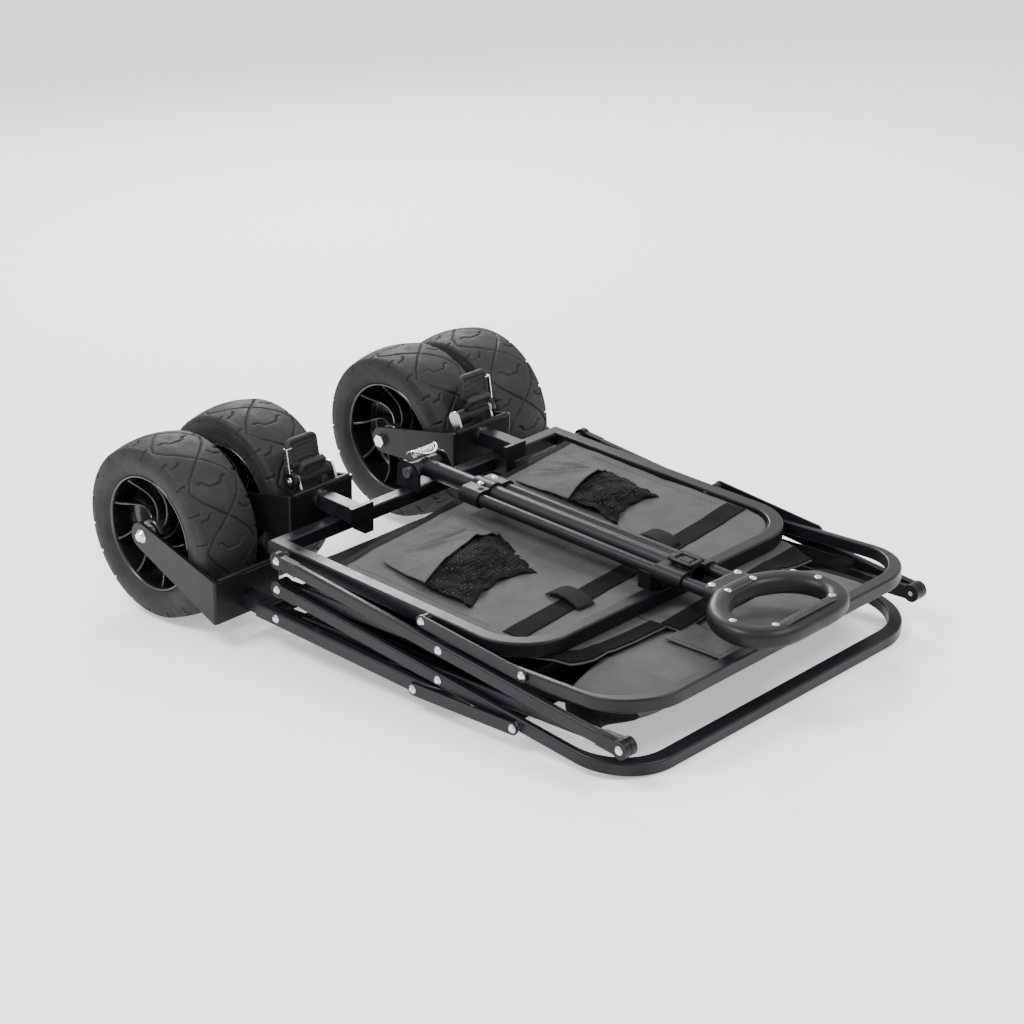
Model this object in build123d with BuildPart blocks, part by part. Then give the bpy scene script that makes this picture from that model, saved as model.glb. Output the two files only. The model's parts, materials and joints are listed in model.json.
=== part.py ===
from build123d import *
import os
from math import asin, atan2, cos, degrees, hypot, sin

# A folding camp wagon, folded flat and lying on its back, in millimetres.
# While it is modelled, X runs from the wheels to the handle's grip (up, in use), Y runs
# across, and Z runs from the rear end frame to the front end frame (forwards, in use).
# The middle plane between the two end frames is Z = 0. At the end everything is laid on
# its rear wheels and the end of the rear rail, with the origin under the middle.

# ---- Driving dimensions: frames, bars and rails ----
tube = 18.0  # square tube of the end frames
frame_half = 247.0  # half width over the front frame
front_length = 409.0  # cross tube to closed end
front_corner = 72.0
rear_length = 345.0
rear_corner = 70.0
rear_leg = 11.5  # the rear frame's legs are flattened tube
edge_round = 2.5

pivot_x = 35.0  # bottom pivots, from the outer face of the cross tubes
pivot_z = 36.5  # bottom pivots, from the middle plane
bar_length = 526.8  # between the end pivots of one cross bar
bar_height = 16.0
bar_thick = 8.5
bar_end = 32.0  # plastic end fitting, from its pivot
bar_end_radius = 10.5
layer_gap = 1.0  # between pieces that swing past each other
rail_reach = 541.0  # middle pivot to the outside of a rail's closed end
rail_bar = 18.0
rail_corner = 74.0
rear_drop = 1.0  # the rear frame lies this much further out than its pivots

link_frame = 230.0  # link pivot on an end frame, from the bottom pivot
link_rail = 382.0  # link pivot on a rail, from the middle pivot
link_offset = 3.0  # link pivots, from the middle line of frame and rail
link_width = 15.0
link_thick = 2.5

rivet_radius = 3.0
rivet_head = 5.2
head_height = 2.0
running = 0.06  # radial clearance of a pin that turns
fast = 0.03  # radial clearance of a pin that is set fast
spacer_radius = 6.5

# ---- Driving dimensions: wheels, forks, casters and brakes ----
tyre_radius = 112.0
tyre_width = 90.0
tyre_crown = 5.0
shoulder = 9.0
rim_radius = 73.0
rim_width = 78.0
barrel_wall = 4.5
hub_radius = 17.0
web = 5.0
rib_count = 9
rib_thick = 3.6
rib_bow = 7.0
axle_radius = 5.0
axle_head = 8.5
head_thick = 4.0
nut_thick = 6.0
fork_width = 102.0
fork_height = 54.0
sheet = 4.0
fork_eye = 17.0
hub_gap = 0.4
front_tyre_gap, rear_tyre_gap = 16.0, 17.0  # tyre to the inside of a fork's plate
front_axle_z, rear_axle_z = 25.0, 15.0
front_wheel_y, rear_wheel_y = 138.4, 254.0
front_plate_x, front_plate_z = -25.0, 45.0  # outer face and middle of a fork's plate
rear_plate_x, rear_plate_z = -30.0, -29.0

swivel = 20.0  # square tube that holds a caster's stem
swivel_end = 34.0
stem_radius = 7.0
stem_nut = 10.0
race_radius = 12.0
race_thick = 3.0
cap_thick = 5.0
clip_width = 14.0

brake_x, brake_z = -45.0, 83.0  # pivot of the pedal
brake_barrel = 7.0
brake_pin = 3.0
brake_near, brake_far = 162.0, 109.0  # inner faces of the two ears, from the middle
ear_thick = 3.0
ear_radius = 8.0
ear_foot = 16.0
pedal_thick = 7.0
lock_length, lock_width, lock_lean = 50.0, 54.0, 100.0
lock_middle, root_width = 148.0, 36.0
free_length, free_width, free_lean = 24.0, 36.0, 62.0
free_middle = 142.0
side_gap = 0.4

# ---- Driving dimensions: handle ----
handle_x, handle_z = 9.0, 67.0  # pivot of the handle
handle_radius = 11.6
handle_wall = 1.8
handle_end = 425.0
side_radius = 7.5
side_wall = 1.3
side_y = 22.5
side_end = 492.0
yoke_x, yoke_length = 99.0, 30.0
collar_x, collar_length = 402.0, 40.0
block_wall = 3.2
slide_gap = 0.3
cheek_y = 25.0  # inner face of the bracket's cheeks
cheek_thick = 3.0
cheek_length = 38.0
pin_radius = 4.0
grip_start, grip_end = 472.0, 612.0
grip_neck, grip_half = 34.0, 89.0
grip_band = 27.0
grip_thick = 23.0
cradle_x, cradle_length = 383.0, 18.0

# ---- Driving dimensions: fabric, as plain solids ----
panel_start = 76.0
panel_thick = 5.0
cloth_gap = 0.8  # fabric to the tube beside it
pocket_x, pocket_length = 92.0, 150.0
pocket_y, pocket_width = 118.0, 160.0
pocket_depth = 14.0
bag_depth = 26.0
hem_end = 288.0
hem_thick = 2.0
tub_half = 224.0
roll_length = 120.0
roll_thick = 40.0
roll_drop = 4.0
roll_side = 2.0  # roll to where the rail's corners begin
seat_gap = 0.3

# ---- Sizes that follow ----
inner_face = frame_half + layer_gap  # front rail's legs and rear bars
inner_out = inner_face + bar_thick
outer_face = inner_out + layer_gap  # front bars and rear rail's legs
outer_out = outer_face + bar_thick
rear_half = outer_face + rear_leg
link_face = inner_out + 0.4 * layer_gap
rear_link_face = rear_half + layer_gap
fold = asin(pivot_z / bar_length)
middle = bar_length / 2
top_x = pivot_x + bar_length * cos(fold)
cross_x = pivot_x + middle * cos(fold)
cross_z = pivot_z / 2
link_rail_x = pivot_x + link_rail * cos(fold) - link_offset * sin(fold)
link_rail_z = link_rail * sin(fold) + link_offset * cos(fold)
link_frame_x = pivot_x + link_frame
link_frame_z = pivot_z + link_offset
link_angle = atan2(link_rail_z - link_frame_z, link_rail_x - link_frame_x)
link_length = hypot(link_rail_x - link_frame_x, link_rail_z - link_frame_z)
front_axle_x = front_plate_x - sheet - front_tyre_gap - tyre_radius
rear_axle_x = rear_plate_x - sheet - rear_tyre_gap - tyre_radius
frame_top = pivot_z + tube / 2
frame_low = pivot_z - tube / 2
rear_middle = -pivot_z - rear_drop
swivel_z = frame_top + swivel / 2
roll_half = inner_face - rail_corner + rail_bar / 2 - roll_side
low = (Align.CENTER, Align.CENTER, Align.MIN)
sides = (("left", -1), ("right", 1))
finished = []


def side(x, z, face, sign=-1, angle=0.0):
    # A plane that faces outwards on one side of the wagon: sign -1 is left, 1 is right.
    return Plane(origin=(x, sign * face, z), x_dir=(cos(angle), 0, sin(angle)), z_dir=(0, sign, 0))


def both(x, z, face):
    return Locations(*[Location(side(x, z, face, sign)) for _, sign in sides])


def keep(piece, label):
    piece.part.label = label
    finished.append(piece.part)


def pins(x, z, start, stop, radius=rivet_radius, head=rivet_head, height=head_height):
    # A shank from start to stop on each side, with a low domed head beyond it.
    with both(x, z, start):
        Cylinder(radius, stop - start, align=low)
    with both(x, z, stop):
        Cone(head, head * 0.55, height, align=low)


def holes(x, z, radius, start, stop):
    with both(x, z, start):
        Cylinder(radius, stop - start, align=low, mode=Mode.SUBTRACT)


def rings(x, z, start, stop, outer, inner):
    with both(x, z, start):
        Cylinder(outer, stop - start, align=low)
    holes(x, z, inner, start, stop)


def end_outline(start, stop, half, corner):
    # A flat outline, square where it starts and with round corners where it ends.
    with BuildSketch() as outline:
        with BuildLine():
            FilletPolyline((start, -half), (stop, -half), (stop, half), (start, half), radius=corner)
            Line((start, half), (start, -half))
        make_face()
    return outline.sketch


def broad_edges(piece, axis):
    broad = piece.faces().filter_by(axis).sort_by(axis)
    return broad[0].edges() + broad[-1].edges()


# ---- End frames: tube bent to a U and closed by a cross tube ----
def build_end_frame(length, half, leg, corner, middle_z, pivots):
    outer = end_outline(0, length, half, corner)
    inner = end_outline(tube, length - tube, half - leg, corner - leg)
    with BuildPart() as frame:
        with BuildSketch(Plane.XY.offset(middle_z - tube / 2)):
            add(outer)
            add(inner, mode=Mode.SUBTRACT)
        extrude(amount=tube)
        fillet(broad_edges(frame, Axis.Z), edge_round)
        for x, z in pivots:
            holes(x, z, rivet_radius + fast, half - leg, half)
    return frame


front_pivots = ((pivot_x, pivot_z), (link_frame_x, link_frame_z))
rear_pivots = ((pivot_x, -pivot_z), (link_frame_x, -link_frame_z))
front_frame = build_end_frame(front_length, frame_half, tube, front_corner, pivot_z, front_pivots)
keep(front_frame, "front_frame")
rear_frame = build_end_frame(rear_length, rear_half, rear_leg, rear_corner, rear_middle, rear_pivots)
keep(rear_frame, "rear_frame")

with BuildPart() as rear_stubs:
    with Locations(*[(rear_plate_x, sign * rear_wheel_y, rear_middle) for _, sign in sides]):
        Box(-rear_plate_x, tube, tube, align=(Align.MIN, Align.CENTER, Align.CENTER))
keep(rear_stubs, "rear_fork_stubs")


# ---- Cross bars: flat-oval tube between two plastic end fittings ----
def build_bar(z_start, angle, face, sign, crossing):
    start = side(pivot_x, z_start, face, sign, angle)
    run = bar_length - 2 * bar_end
    with BuildPart() as bar:
        with Locations(Location(start)):
            with Locations((middle, 0, 0)):
                Box(run, bar_height, bar_thick, align=low)
                Cylinder(crossing, bar_thick, align=low, mode=Mode.SUBTRACT)
        along = bar.edges().filter_by(Axis((0, 0, 0), start.x_dir))
        fillet(along, bar_thick * 0.32)
    return bar


def build_bar_ends(z_start, angle, face, bore_low, bore_top):
    with BuildPart() as ends:
        for _, sign in sides:
            plane = side(pivot_x, z_start, face, sign, angle)
            places = ((0, bar_end / 2, bore_low), (bar_length, bar_length - bar_end / 2, bore_top))
            for at, mid_way, bore in places:
                with BuildSketch(plane):
                    with Locations((at, 0)):
                        Circle(bar_end_radius)
                    with Locations((mid_way, 0)):
                        Rectangle(bar_end, bar_height)
                    with Locations((at, 0)):
                        Circle(bore, mode=Mode.SUBTRACT)
                extrude(amount=bar_thick)
    return ends


turning = rivet_radius + running
set_fast = rivet_radius + fast
for label, sign in sides:
    keep(build_bar(pivot_z, -fold, outer_face, sign, set_fast), f"front_bar_{label}")
    keep(build_bar(-pivot_z, fold, inner_face, sign, set_fast), f"rear_bar_{label}")
keep(build_bar_ends(pivot_z, -fold, outer_face, turning, turning), "front_bar_ends")
keep(build_bar_ends(-pivot_z, fold, inner_face, turning, set_fast), "rear_bar_ends")


# ---- Rails: the second arm of each cross, bent round into the top edge of the wagon ----
def build_rail(angle, face):
    leg_out = face + bar_thick
    plane = Plane(origin=(pivot_x, 0, 0), x_dir=(cos(angle), 0, sin(angle)), z_dir=(-sin(angle), 0, cos(angle)))
    outer = end_outline(bar_end, rail_reach, leg_out, rail_corner)
    inner = end_outline(bar_end - 1, rail_reach - rail_bar, face, rail_corner - rail_bar / 2)
    with BuildPart() as rail:
        with BuildSketch(plane):
            add(outer)
            add(inner, mode=Mode.SUBTRACT)
        extrude(amount=bar_height / 2, both=True)
        fillet(broad_edges(rail, Axis((0, 0, 0), plane.z_dir)), edge_round)
        sense = 1 if angle > 0 else -1
        holes(cross_x, sense * cross_z, turning, face, leg_out)
    return rail


def build_rail_ends(angle, face, bore):
    with BuildPart() as ends:
        for _, sign in sides:
            with BuildSketch(side(pivot_x, 0, face, sign, angle)):
                Circle(bar_end_radius)
                with Locations((bar_end / 2, 0)):
                    Rectangle(bar_end, bar_height)
                Circle(bore, mode=Mode.SUBTRACT)
            extrude(amount=bar_thick)
    return ends


keep(build_rail(fold, inner_face), "front_rail")
keep(build_rail(-fold, outer_face), "rear_rail")
keep(build_rail_ends(fold, inner_face, set_fast), "front_rail_ends")
keep(build_rail_ends(-fold, outer_face, turning), "rear_rail_ends")


# ---- Links: pressed steel straps from each end frame to its rail ----
def build_links(sense, face):
    with BuildPart() as links:
        for _, sign in sides:
            with BuildSketch(side(link_frame_x, sense * link_frame_z, face, sign, sense * link_angle)):
                with Locations((link_length / 2, 0)):
                    SlotCenterToCenter(link_length, link_width)
                with Locations((0, 0)):
                    Circle(turning, mode=Mode.SUBTRACT)
                with Locations((link_length, 0)):
                    Circle(set_fast, mode=Mode.SUBTRACT)
            extrude(amount=link_thick)
    return links


keep(build_links(1, link_face), "front_links")
keep(build_links(-1, rear_link_face), "rear_links")

# ---- Rivets and spacers of the folding gear ----
with BuildPart() as front_spacers:
    for (x, z), stop in zip(front_pivots, (outer_face - 0.3, link_face - 0.2)):
        rings(x, z, frame_half, stop, spacer_radius, set_fast)
keep(front_spacers, "front_frame_spacers")

with BuildPart() as front_rivets:
    pins(pivot_x, pivot_z, frame_half - tube, outer_out + 0.3)
    pins(link_frame_x, link_frame_z, frame_half - tube, link_face + link_thick + 0.3)
keep(front_rivets, "front_frame_rivets")

with BuildPart() as rear_rivets:
    pins(pivot_x, -pivot_z, inner_face, rear_half)
    pins(link_frame_x, -link_frame_z, rear_half - rear_leg, rear_link_face + link_thick + 0.3)
keep(rear_rivets, "rear_frame_rivets")

with BuildPart() as front_bar_rivets:
    pins(cross_x, cross_z, inner_face, outer_out)
keep(front_bar_rivets, "front_bar_rivets")

with BuildPart() as rear_bar_rivets:
    pins(cross_x, -cross_z, inner_face, outer_out + 0.3)
    pins(top_x, 0, inner_face, outer_out + 0.3)
keep(rear_bar_rivets, "rear_bar_rivets")

with BuildPart() as front_rail_rivets:
    pins(pivot_x, 0, inner_face, outer_out + 0.3)
keep(front_rail_rivets, "front_rail_rivets")

with BuildPart() as front_link_rivets:
    pins(link_rail_x, link_rail_z, link_face, link_face + link_thick)
keep(front_link_rivets, "front_link_rivets")

with BuildPart() as rear_link_rivets:
    pins(link_rail_x, -link_rail_z, rear_link_face, rear_link_face + link_thick)
    with both(link_rail_x, -link_rail_z, outer_out + 0.5):
        Cylinder(spacer_radius, rear_link_face - outer_out - 0.5, align=low)
keep(rear_link_rivets, "rear_link_rivets")


# ---- Forks: a plate bent back into two tapered cheeks, with a rolled edge ----
def slab(flat, middle_y, thick):
    # A profile drawn in the XZ plane, given its thickness about middle_y.
    extrude(flat.moved(Location((0, middle_y + thick / 2, 0))), amount=thick)


def build_fork(plate_x, plate_z, axle_x, axle_z, centre_y, stem_bore=None):
    plate_mid = plate_x - sheet / 2
    with BuildSketch(Plane.XZ) as cheek:
        with Locations((axle_x, axle_z)):
            Circle(fork_eye)
        with Locations((plate_mid, plate_z)):
            Rectangle(sheet, fork_height)
        make_hull()
        with Locations((axle_x, axle_z)):
            Circle(axle_radius + fast, mode=Mode.SUBTRACT)
    with BuildPart() as fork:
        for sense in (-1, 1):
            slab(cheek.sketch, centre_y + sense * (fork_width - sheet) / 2, sheet)
        with Locations((plate_mid, centre_y, plate_z)):
            Box(sheet, fork_width, fork_height)
        fillet(fork.edges().filter_by(Axis.Z).group_by(Axis.X)[-1], sheet * 0.8)
        with Locations((plate_mid, centre_y, plate_z + fork_height / 2)):
            Cylinder(sheet * 0.75, fork_width - 3 * sheet, rotation=(90, 0, 0))
        if stem_bore is not None:
            with Locations(Location((plate_mid, centre_y, stem_bore), (0, 90, 0))):
                Cylinder(stem_radius + fast, 3 * sheet, mode=Mode.SUBTRACT)
    return fork


def build_axles(axle_x, axle_z, centre_y, signs):
    # A bolt through both cheeks, its head outwards and its nut inwards.
    near, far = centre_y + fork_width / 2, centre_y - fork_width / 2
    with BuildPart() as axles:
        for sign in signs:
            with Locations(Location(side(axle_x, axle_z, far, sign))):
                Cylinder(axle_radius, fork_width, align=low)
            with Locations(Location(side(axle_x, axle_z, near, sign))):
                Cone(axle_head, axle_head * 0.6, head_thick, align=low)
            with BuildSketch(side(axle_x, axle_z, far - nut_thick, sign)):
                RegularPolygon(axle_head, 6)
            extrude(amount=nut_thick)
    return axles


for label, sign in sides:
    front_fork = build_fork(front_plate_x, front_plate_z, front_axle_x, front_axle_z,
                            sign * front_wheel_y, swivel_z)
    rear_fork = build_fork(rear_plate_x, rear_plate_z, rear_axle_x, rear_axle_z, sign * rear_wheel_y)
    keep(front_fork, f"fork_front_{label}")
    keep(rear_fork, f"fork_rear_{label}")
    keep(build_axles(front_axle_x, front_axle_z, front_wheel_y, (sign,)), f"axle_front_{label}")
keep(build_axles(rear_axle_x, rear_axle_z, rear_wheel_y, (-1, 1)), "rear_axles")

# ---- Wheels: a rim with bowed ribs and a broad tyre, made round the Y axis ----
half_rim = rim_width / 2
half_tyre = tyre_width / 2
hub_half = fork_width / 2 - sheet - hub_gap
barrel = rim_radius - barrel_wall
bore = axle_radius + running
with BuildPart() as rim:
    with BuildSketch(Plane.XY):
        with BuildLine():
            Polyline(
                (bore, -hub_half), (hub_radius * 0.8, -hub_half), (hub_radius, -half_rim * 0.7),
                (hub_radius, -web / 2), (barrel, -web / 2), (barrel, -half_rim),
                (rim_radius, -half_rim), (rim_radius, half_rim), (barrel, half_rim),
                (barrel, web / 2), (hub_radius, web / 2), (hub_radius, half_rim * 0.7),
                (hub_radius * 0.8, hub_half), (bore, hub_half), close=True,
            )
        make_face()
    revolve(axis=Axis.Y)
    with BuildSketch(Plane.XZ):
        with PolarLocations(0, rib_count):
            rib_line = ThreePointArc((hub_radius - 1, 0), ((hub_radius + barrel) / 2, rib_bow), (barrel + 1, 0))
            SlotArc(rib_line, rib_thick)
    extrude(amount=half_rim * 0.62, both=True)

with BuildPart() as tyre:
    with BuildSketch(Plane.XY):
        tread = tyre_radius - tyre_crown
        seat = rim_radius + fast
        with BuildLine():
            Polyline(
                (tread - 2 * shoulder, half_tyre), (seat + 6, half_tyre - 2), (seat, half_rim),
                (seat, -half_rim), (seat + 6, -half_tyre + 2), (tread - 2 * shoulder, -half_tyre),
            )
            for end in (-1, 1):
                ThreePointArc((tread - 2 * shoulder, end * half_tyre), (tread - 5, end * (half_tyre - 3)),
                              (tread, end * (half_tyre - shoulder)))
            ThreePointArc((tread, shoulder - half_tyre), (tyre_radius, 0), (tread, half_tyre - shoulder))
        make_face()
    revolve(axis=Axis.Y)

wheels = (
    ("front_left", front_axle_x, -front_wheel_y, front_axle_z),
    ("front_right", front_axle_x, front_wheel_y, front_axle_z),
    ("rear_left", rear_axle_x, -rear_wheel_y, rear_axle_z),
    ("rear_right", rear_axle_x, rear_wheel_y, rear_axle_z),
)
for label, x, y, z in wheels:
    for kind, solid in (("rim", rim.part), ("tyre", tyre.part)):
        with BuildPart() as placed:
            add(solid.moved(Location((x, y, z))))
        keep(placed, f"{kind}_{label}")

# ---- Casters: the stems of the front forks turn in square tubes on the front frame ----
swivel_start = front_plate_x + race_thick + slide_gap
stem_start = front_plate_x - sheet - nut_thick
along_x = (0, 90, 0)
for label, sign in sides:
    stem_y = sign * front_wheel_y
    with BuildPart() as stem:
        with Locations(Location((stem_start, stem_y, swivel_z), along_x)):
            Cylinder(stem_nut, nut_thick, align=low)
            Cylinder(stem_radius, swivel_end - 2 - stem_start, align=low)
        with Locations(Location((front_plate_x, stem_y, swivel_z), along_x)):
            Cylinder(race_radius, race_thick, align=low)
    keep(stem, f"caster_stem_{label}")

with BuildPart() as swivel_tubes:
    for _, sign in sides:
        origin = (swivel_start, sign * front_wheel_y, swivel_z)
        with BuildSketch(Plane(origin=origin, x_dir=(0, 1, 0), z_dir=(1, 0, 0))):
            RectangleRounded(swivel, swivel, 1.5)
            Circle(stem_radius + running, mode=Mode.SUBTRACT)
        extrude(amount=swivel_end - swivel_start)
keep(swivel_tubes, "swivel_tubes")

with BuildPart() as swivel_caps:
    for _, sign in sides:
        cap_y = sign * front_wheel_y
        clip_y = cap_y - sign * (swivel + clip_width) / 2
        with Locations((swivel_end, cap_y, swivel_z)):
            Box(cap_thick, swivel + 2, swivel, align=(Align.MIN, Align.CENTER, Align.CENTER))
        with Locations((tube, clip_y, pivot_z)):
            Box(swivel_end + cap_thick - tube, clip_width, tube,
                align=(Align.MIN, Align.CENTER, Align.CENTER))
        with Locations((swivel_end, clip_y, pivot_z)):
            Box(cap_thick, clip_width, swivel_z - pivot_z + swivel / 2,
                align=(Align.MIN, Align.CENTER, Align.MIN))
keep(swivel_caps, "swivel_caps")

# ---- Brakes: a rocking pair of pads between two ears on each front fork ----
inside_plate = front_plate_x - sheet
with BuildSketch(Plane.XZ) as ear:
    with Locations((brake_x, brake_z)):
        Circle(ear_radius)
    with Locations((inside_plate - sheet / 2, front_plate_z + fork_height / 2 - ear_foot)):
        Rectangle(sheet, ear_foot)
    make_hull()
with BuildSketch(Plane.XZ) as barrel_end:
    with Locations((brake_x, brake_z)):
        Circle(brake_barrel)
        Circle(brake_pin + running, mode=Mode.SUBTRACT)


def pad(length, lean, start):
    # A flat pad seen from its side, leaning from the pedal's barrel.
    with BuildSketch(Plane.XZ) as flat:
        with Locations(Location((brake_x, brake_z, 0), (0, 0, lean))):
            with Locations(((start + length) / 2, 0)):
                RectangleRounded(length - start, pedal_thick, 2.5)
    return flat.sketch


barrel_near, barrel_far = brake_near - side_gap, brake_far + side_gap
barrel_long = barrel_near - barrel_far
for label, sign in sides:
    with BuildPart() as bracket:
        slab(ear.sketch, sign * (brake_near + ear_thick / 2), ear_thick)
        slab(ear.sketch, sign * (brake_far - ear_thick / 2), ear_thick)
        with Locations(Location(side(brake_x, brake_z, brake_far, sign))):
            Cylinder(brake_pin, brake_near - brake_far, align=low)
        with Locations(Location(side(brake_x, brake_z, brake_near + ear_thick, sign))):
            Cylinder(ear_radius + 2, 3, align=low)
            Cone(rivet_head, rivet_head * 0.6, 3 + head_height, align=low)
    keep(bracket, f"brake_bracket_{label}")
    with BuildPart() as pedal:
        slab(barrel_end.sketch, sign * (barrel_near + barrel_far) / 2, barrel_long)
        slab(pad(free_length, free_lean, brake_barrel - 1), sign * free_middle, free_width)
        slab(pad(lock_length, lock_lean, ear_radius + 4), sign * lock_middle, lock_width)
        slab(pad(lock_length - 10, lock_lean, brake_barrel - 1), sign * free_middle, root_width)
    keep(pedal, f"brake_pedal_{label}")

# ---- Handle: a centre tube on a bracket, and a sliding frame of two side tubes ----
with BuildPart() as bracket:
    with BuildSketch(Plane.XZ) as cheek:
        with Locations((handle_x, (frame_top + handle_z) / 2)):
            Rectangle(cheek_length, handle_z - frame_top)
        with Locations((handle_x - 5, handle_z), (handle_x + 5, handle_z)):
            Circle(cheek_length / 2 - 5)
        with Locations((handle_x, handle_z)):
            Circle(pin_radius + fast, mode=Mode.SUBTRACT)
    for sense in (-1, 1):
        slab(cheek.sketch, sense * (cheek_y + cheek_thick / 2), cheek_thick)
    with Locations((handle_x, 0, frame_top)):
        Box(cheek_length, 2 * cheek_y + 1, cheek_thick, align=low)
keep(bracket, "handle_bracket")

with BuildPart() as handle_pin:
    with Locations(Location((handle_x, 0, handle_z), (90, 0, 0))):
        Cylinder(pin_radius, 2 * (cheek_y + cheek_thick))
    for sense in (-1, 1):
        with Locations(Location(side(handle_x, handle_z, cheek_y + cheek_thick, sense))):
            Cylinder(pin_radius + 3, 3, align=low)
keep(handle_pin, "handle_pin")

eye = handle_radius - 1.6
with BuildPart() as handle_tube:
    with Locations(Location((handle_x, 0, handle_z), along_x)):
        Cylinder(handle_radius, handle_end - handle_x, align=low)
        Cylinder(handle_radius - handle_wall, handle_end - handle_x, align=low, mode=Mode.SUBTRACT)
    with Locations(Location((handle_x, 0, handle_z), (90, 0, 0))):
        Cylinder(eye, 2 * (cheek_y - side_gap))
        Cylinder(pin_radius + running, 2 * cheek_y, mode=Mode.SUBTRACT)
keep(handle_tube, "handle_tube")


def build_block(start, length, centre_bore, side_bore):
    # A moulded block that wraps the centre tube and both side tubes.
    origin = (start, 0, handle_z)
    with BuildPart() as block:
        with BuildSketch(Plane(origin=origin, x_dir=(0, 1, 0), z_dir=(1, 0, 0))):
            with Locations((-side_y, 0), (side_y, 0)):
                Circle(side_radius + block_wall)
            Rectangle(2 * side_y, 2 * (side_radius + block_wall))
            Circle(handle_radius + block_wall)
            Circle(centre_bore, mode=Mode.SUBTRACT)
            with Locations((-side_y, 0), (side_y, 0)):
                Circle(side_bore, mode=Mode.SUBTRACT)
        extrude(amount=length)
    return block


keep(build_block(yoke_x, yoke_length, handle_radius + slide_gap, side_radius + fast), "handle_yoke")
collar = build_block(collar_x, collar_length, handle_radius + fast, side_radius + slide_gap)
keep(collar, "handle_collar")

with BuildPart() as side_tubes:
    with Locations(*[Location((yoke_x + 2, sign * side_y, handle_z), along_x) for _, sign in sides]):
        Cylinder(side_radius, side_end - yoke_x - 2, align=low)
        Cylinder(side_radius - side_wall, side_end - yoke_x - 2, align=low, mode=Mode.SUBTRACT)
keep(side_tubes, "handle_side_tubes")

# The grip is one flat loop: a neck that takes the side tubes, and a broad bow.
inner_half = grip_half - grip_band
with BuildPart() as grip:
    with BuildSketch(Plane.XY.offset(handle_z - grip_thick / 2)):
        with BuildLine():
            FilletPolyline(
                (grip_start, -grip_neck), (grip_start + 34, -grip_neck), (grip_start + 78, -grip_half),
                (grip_end, -grip_half * 0.9), (grip_end, grip_half * 0.9),
                (grip_start + 78, grip_half), (grip_start + 34, grip_neck), (grip_start, grip_neck),
                radius=(18, 34, 38, 38, 34, 18),
            )
            Line((grip_start, grip_neck), (grip_start, -grip_neck))
        make_face()
    extrude(amount=grip_thick)
    with BuildSketch(Plane.XY.offset(handle_z - grip_thick / 2)):
        with BuildLine():
            FilletPolyline(
                (grip_start + 46, -14), (grip_start + 82, -inner_half), (grip_end - grip_band, -inner_half + 4),
                (grip_end - grip_band, inner_half - 4), (grip_start + 82, inner_half), (grip_start + 46, 14),
                radius=14, close=True,
            )
        make_face()
    extrude(amount=grip_thick, mode=Mode.SUBTRACT)
    fillet(broad_edges(grip, Axis.Z), grip_thick * 0.3)
    with Locations(*[Location((grip_start, sign * side_y, handle_z), along_x) for _, sign in sides]):
        Cylinder(side_radius + fast, side_end - grip_start, align=low, mode=Mode.SUBTRACT)
keep(grip, "handle_grip")

# Two rests on the closed end carry the side tubes while the handle lies down.
rest_top = handle_z - side_radius - slide_gap
rest_in = handle_radius + 2 * slide_gap
rest_out = side_y + side_radius + block_wall
with BuildPart() as cradles:
    for _, sign in sides:
        with Locations((cradle_x, sign * (rest_in + rest_out) / 2, frame_top)):
            Box(cradle_length, rest_out - rest_in, rest_top - frame_top,
                align=(Align.MIN, Align.CENTER, Align.MIN))
keep(cradles, "handle_cradles")

# ---- Fabric ----
panel_half = frame_half - tube - cloth_gap
panel_end = front_length - tube - cloth_gap
with BuildPart() as front_panel:
    with BuildSketch(Plane.XY.offset(pivot_z - panel_thick / 2)):
        add(end_outline(panel_start, panel_end, panel_half, front_corner - tube))
    extrude(amount=panel_thick)
keep(front_panel, "front_panel")

pocket_low = pivot_z + panel_thick / 2
with BuildPart() as pockets:
    with Locations(*[(pocket_x + pocket_length / 2, sign * pocket_y, pocket_low) for _, sign in sides]):
        Box(pocket_length, pocket_width, pocket_depth, align=low)
    fillet(faces().sort_by(Axis.Z)[-2:].edges(), pocket_depth * 0.45)
keep(pockets, "front_pockets")

bag_half = inner_face - cloth_gap
bag_top = rear_middle + 4
with BuildPart() as rear_bag:
    with BuildSketch(Plane.XY.offset(bag_top)):
        add(end_outline(tube + cloth_gap, rear_length - tube - cloth_gap, bag_half, rear_corner - rear_leg))
    extrude(amount=-bag_depth)
    fillet(faces().sort_by(Axis.Z)[0].edges(), bag_depth * 0.4)
keep(rear_bag, "rear_bag")

# The tub is folded between the two end panels: three pleated walls and its front hem.
hem_start = swivel_end + cap_thick + 3
hem_low = pivot_z - panel_thick / 2 - 0.4 - hem_thick
with BuildPart() as tub_hem:
    with BuildSketch(Plane.XY.offset(hem_low)):
        add(end_outline(hem_start, hem_end, tub_half, 4))
        add(end_outline(hem_start + 14, hem_end + 9, tub_half - 14, 4), mode=Mode.SUBTRACT)
    extrude(amount=hem_thick)
keep(tub_hem, "tub_hem")

tub_low = rear_middle + 4 + cloth_gap
with BuildPart() as tub:
    with BuildSketch(Plane.XY.offset(tub_low)):
        add(end_outline(hem_start, hem_end, tub_half, 4))
        add(end_outline(hem_start + 40, hem_end + 9, tub_half - 40, 4), mode=Mode.SUBTRACT)
    extrude(amount=hem_low - cloth_gap - tub_low)
keep(tub, "tub_folds")

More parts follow.
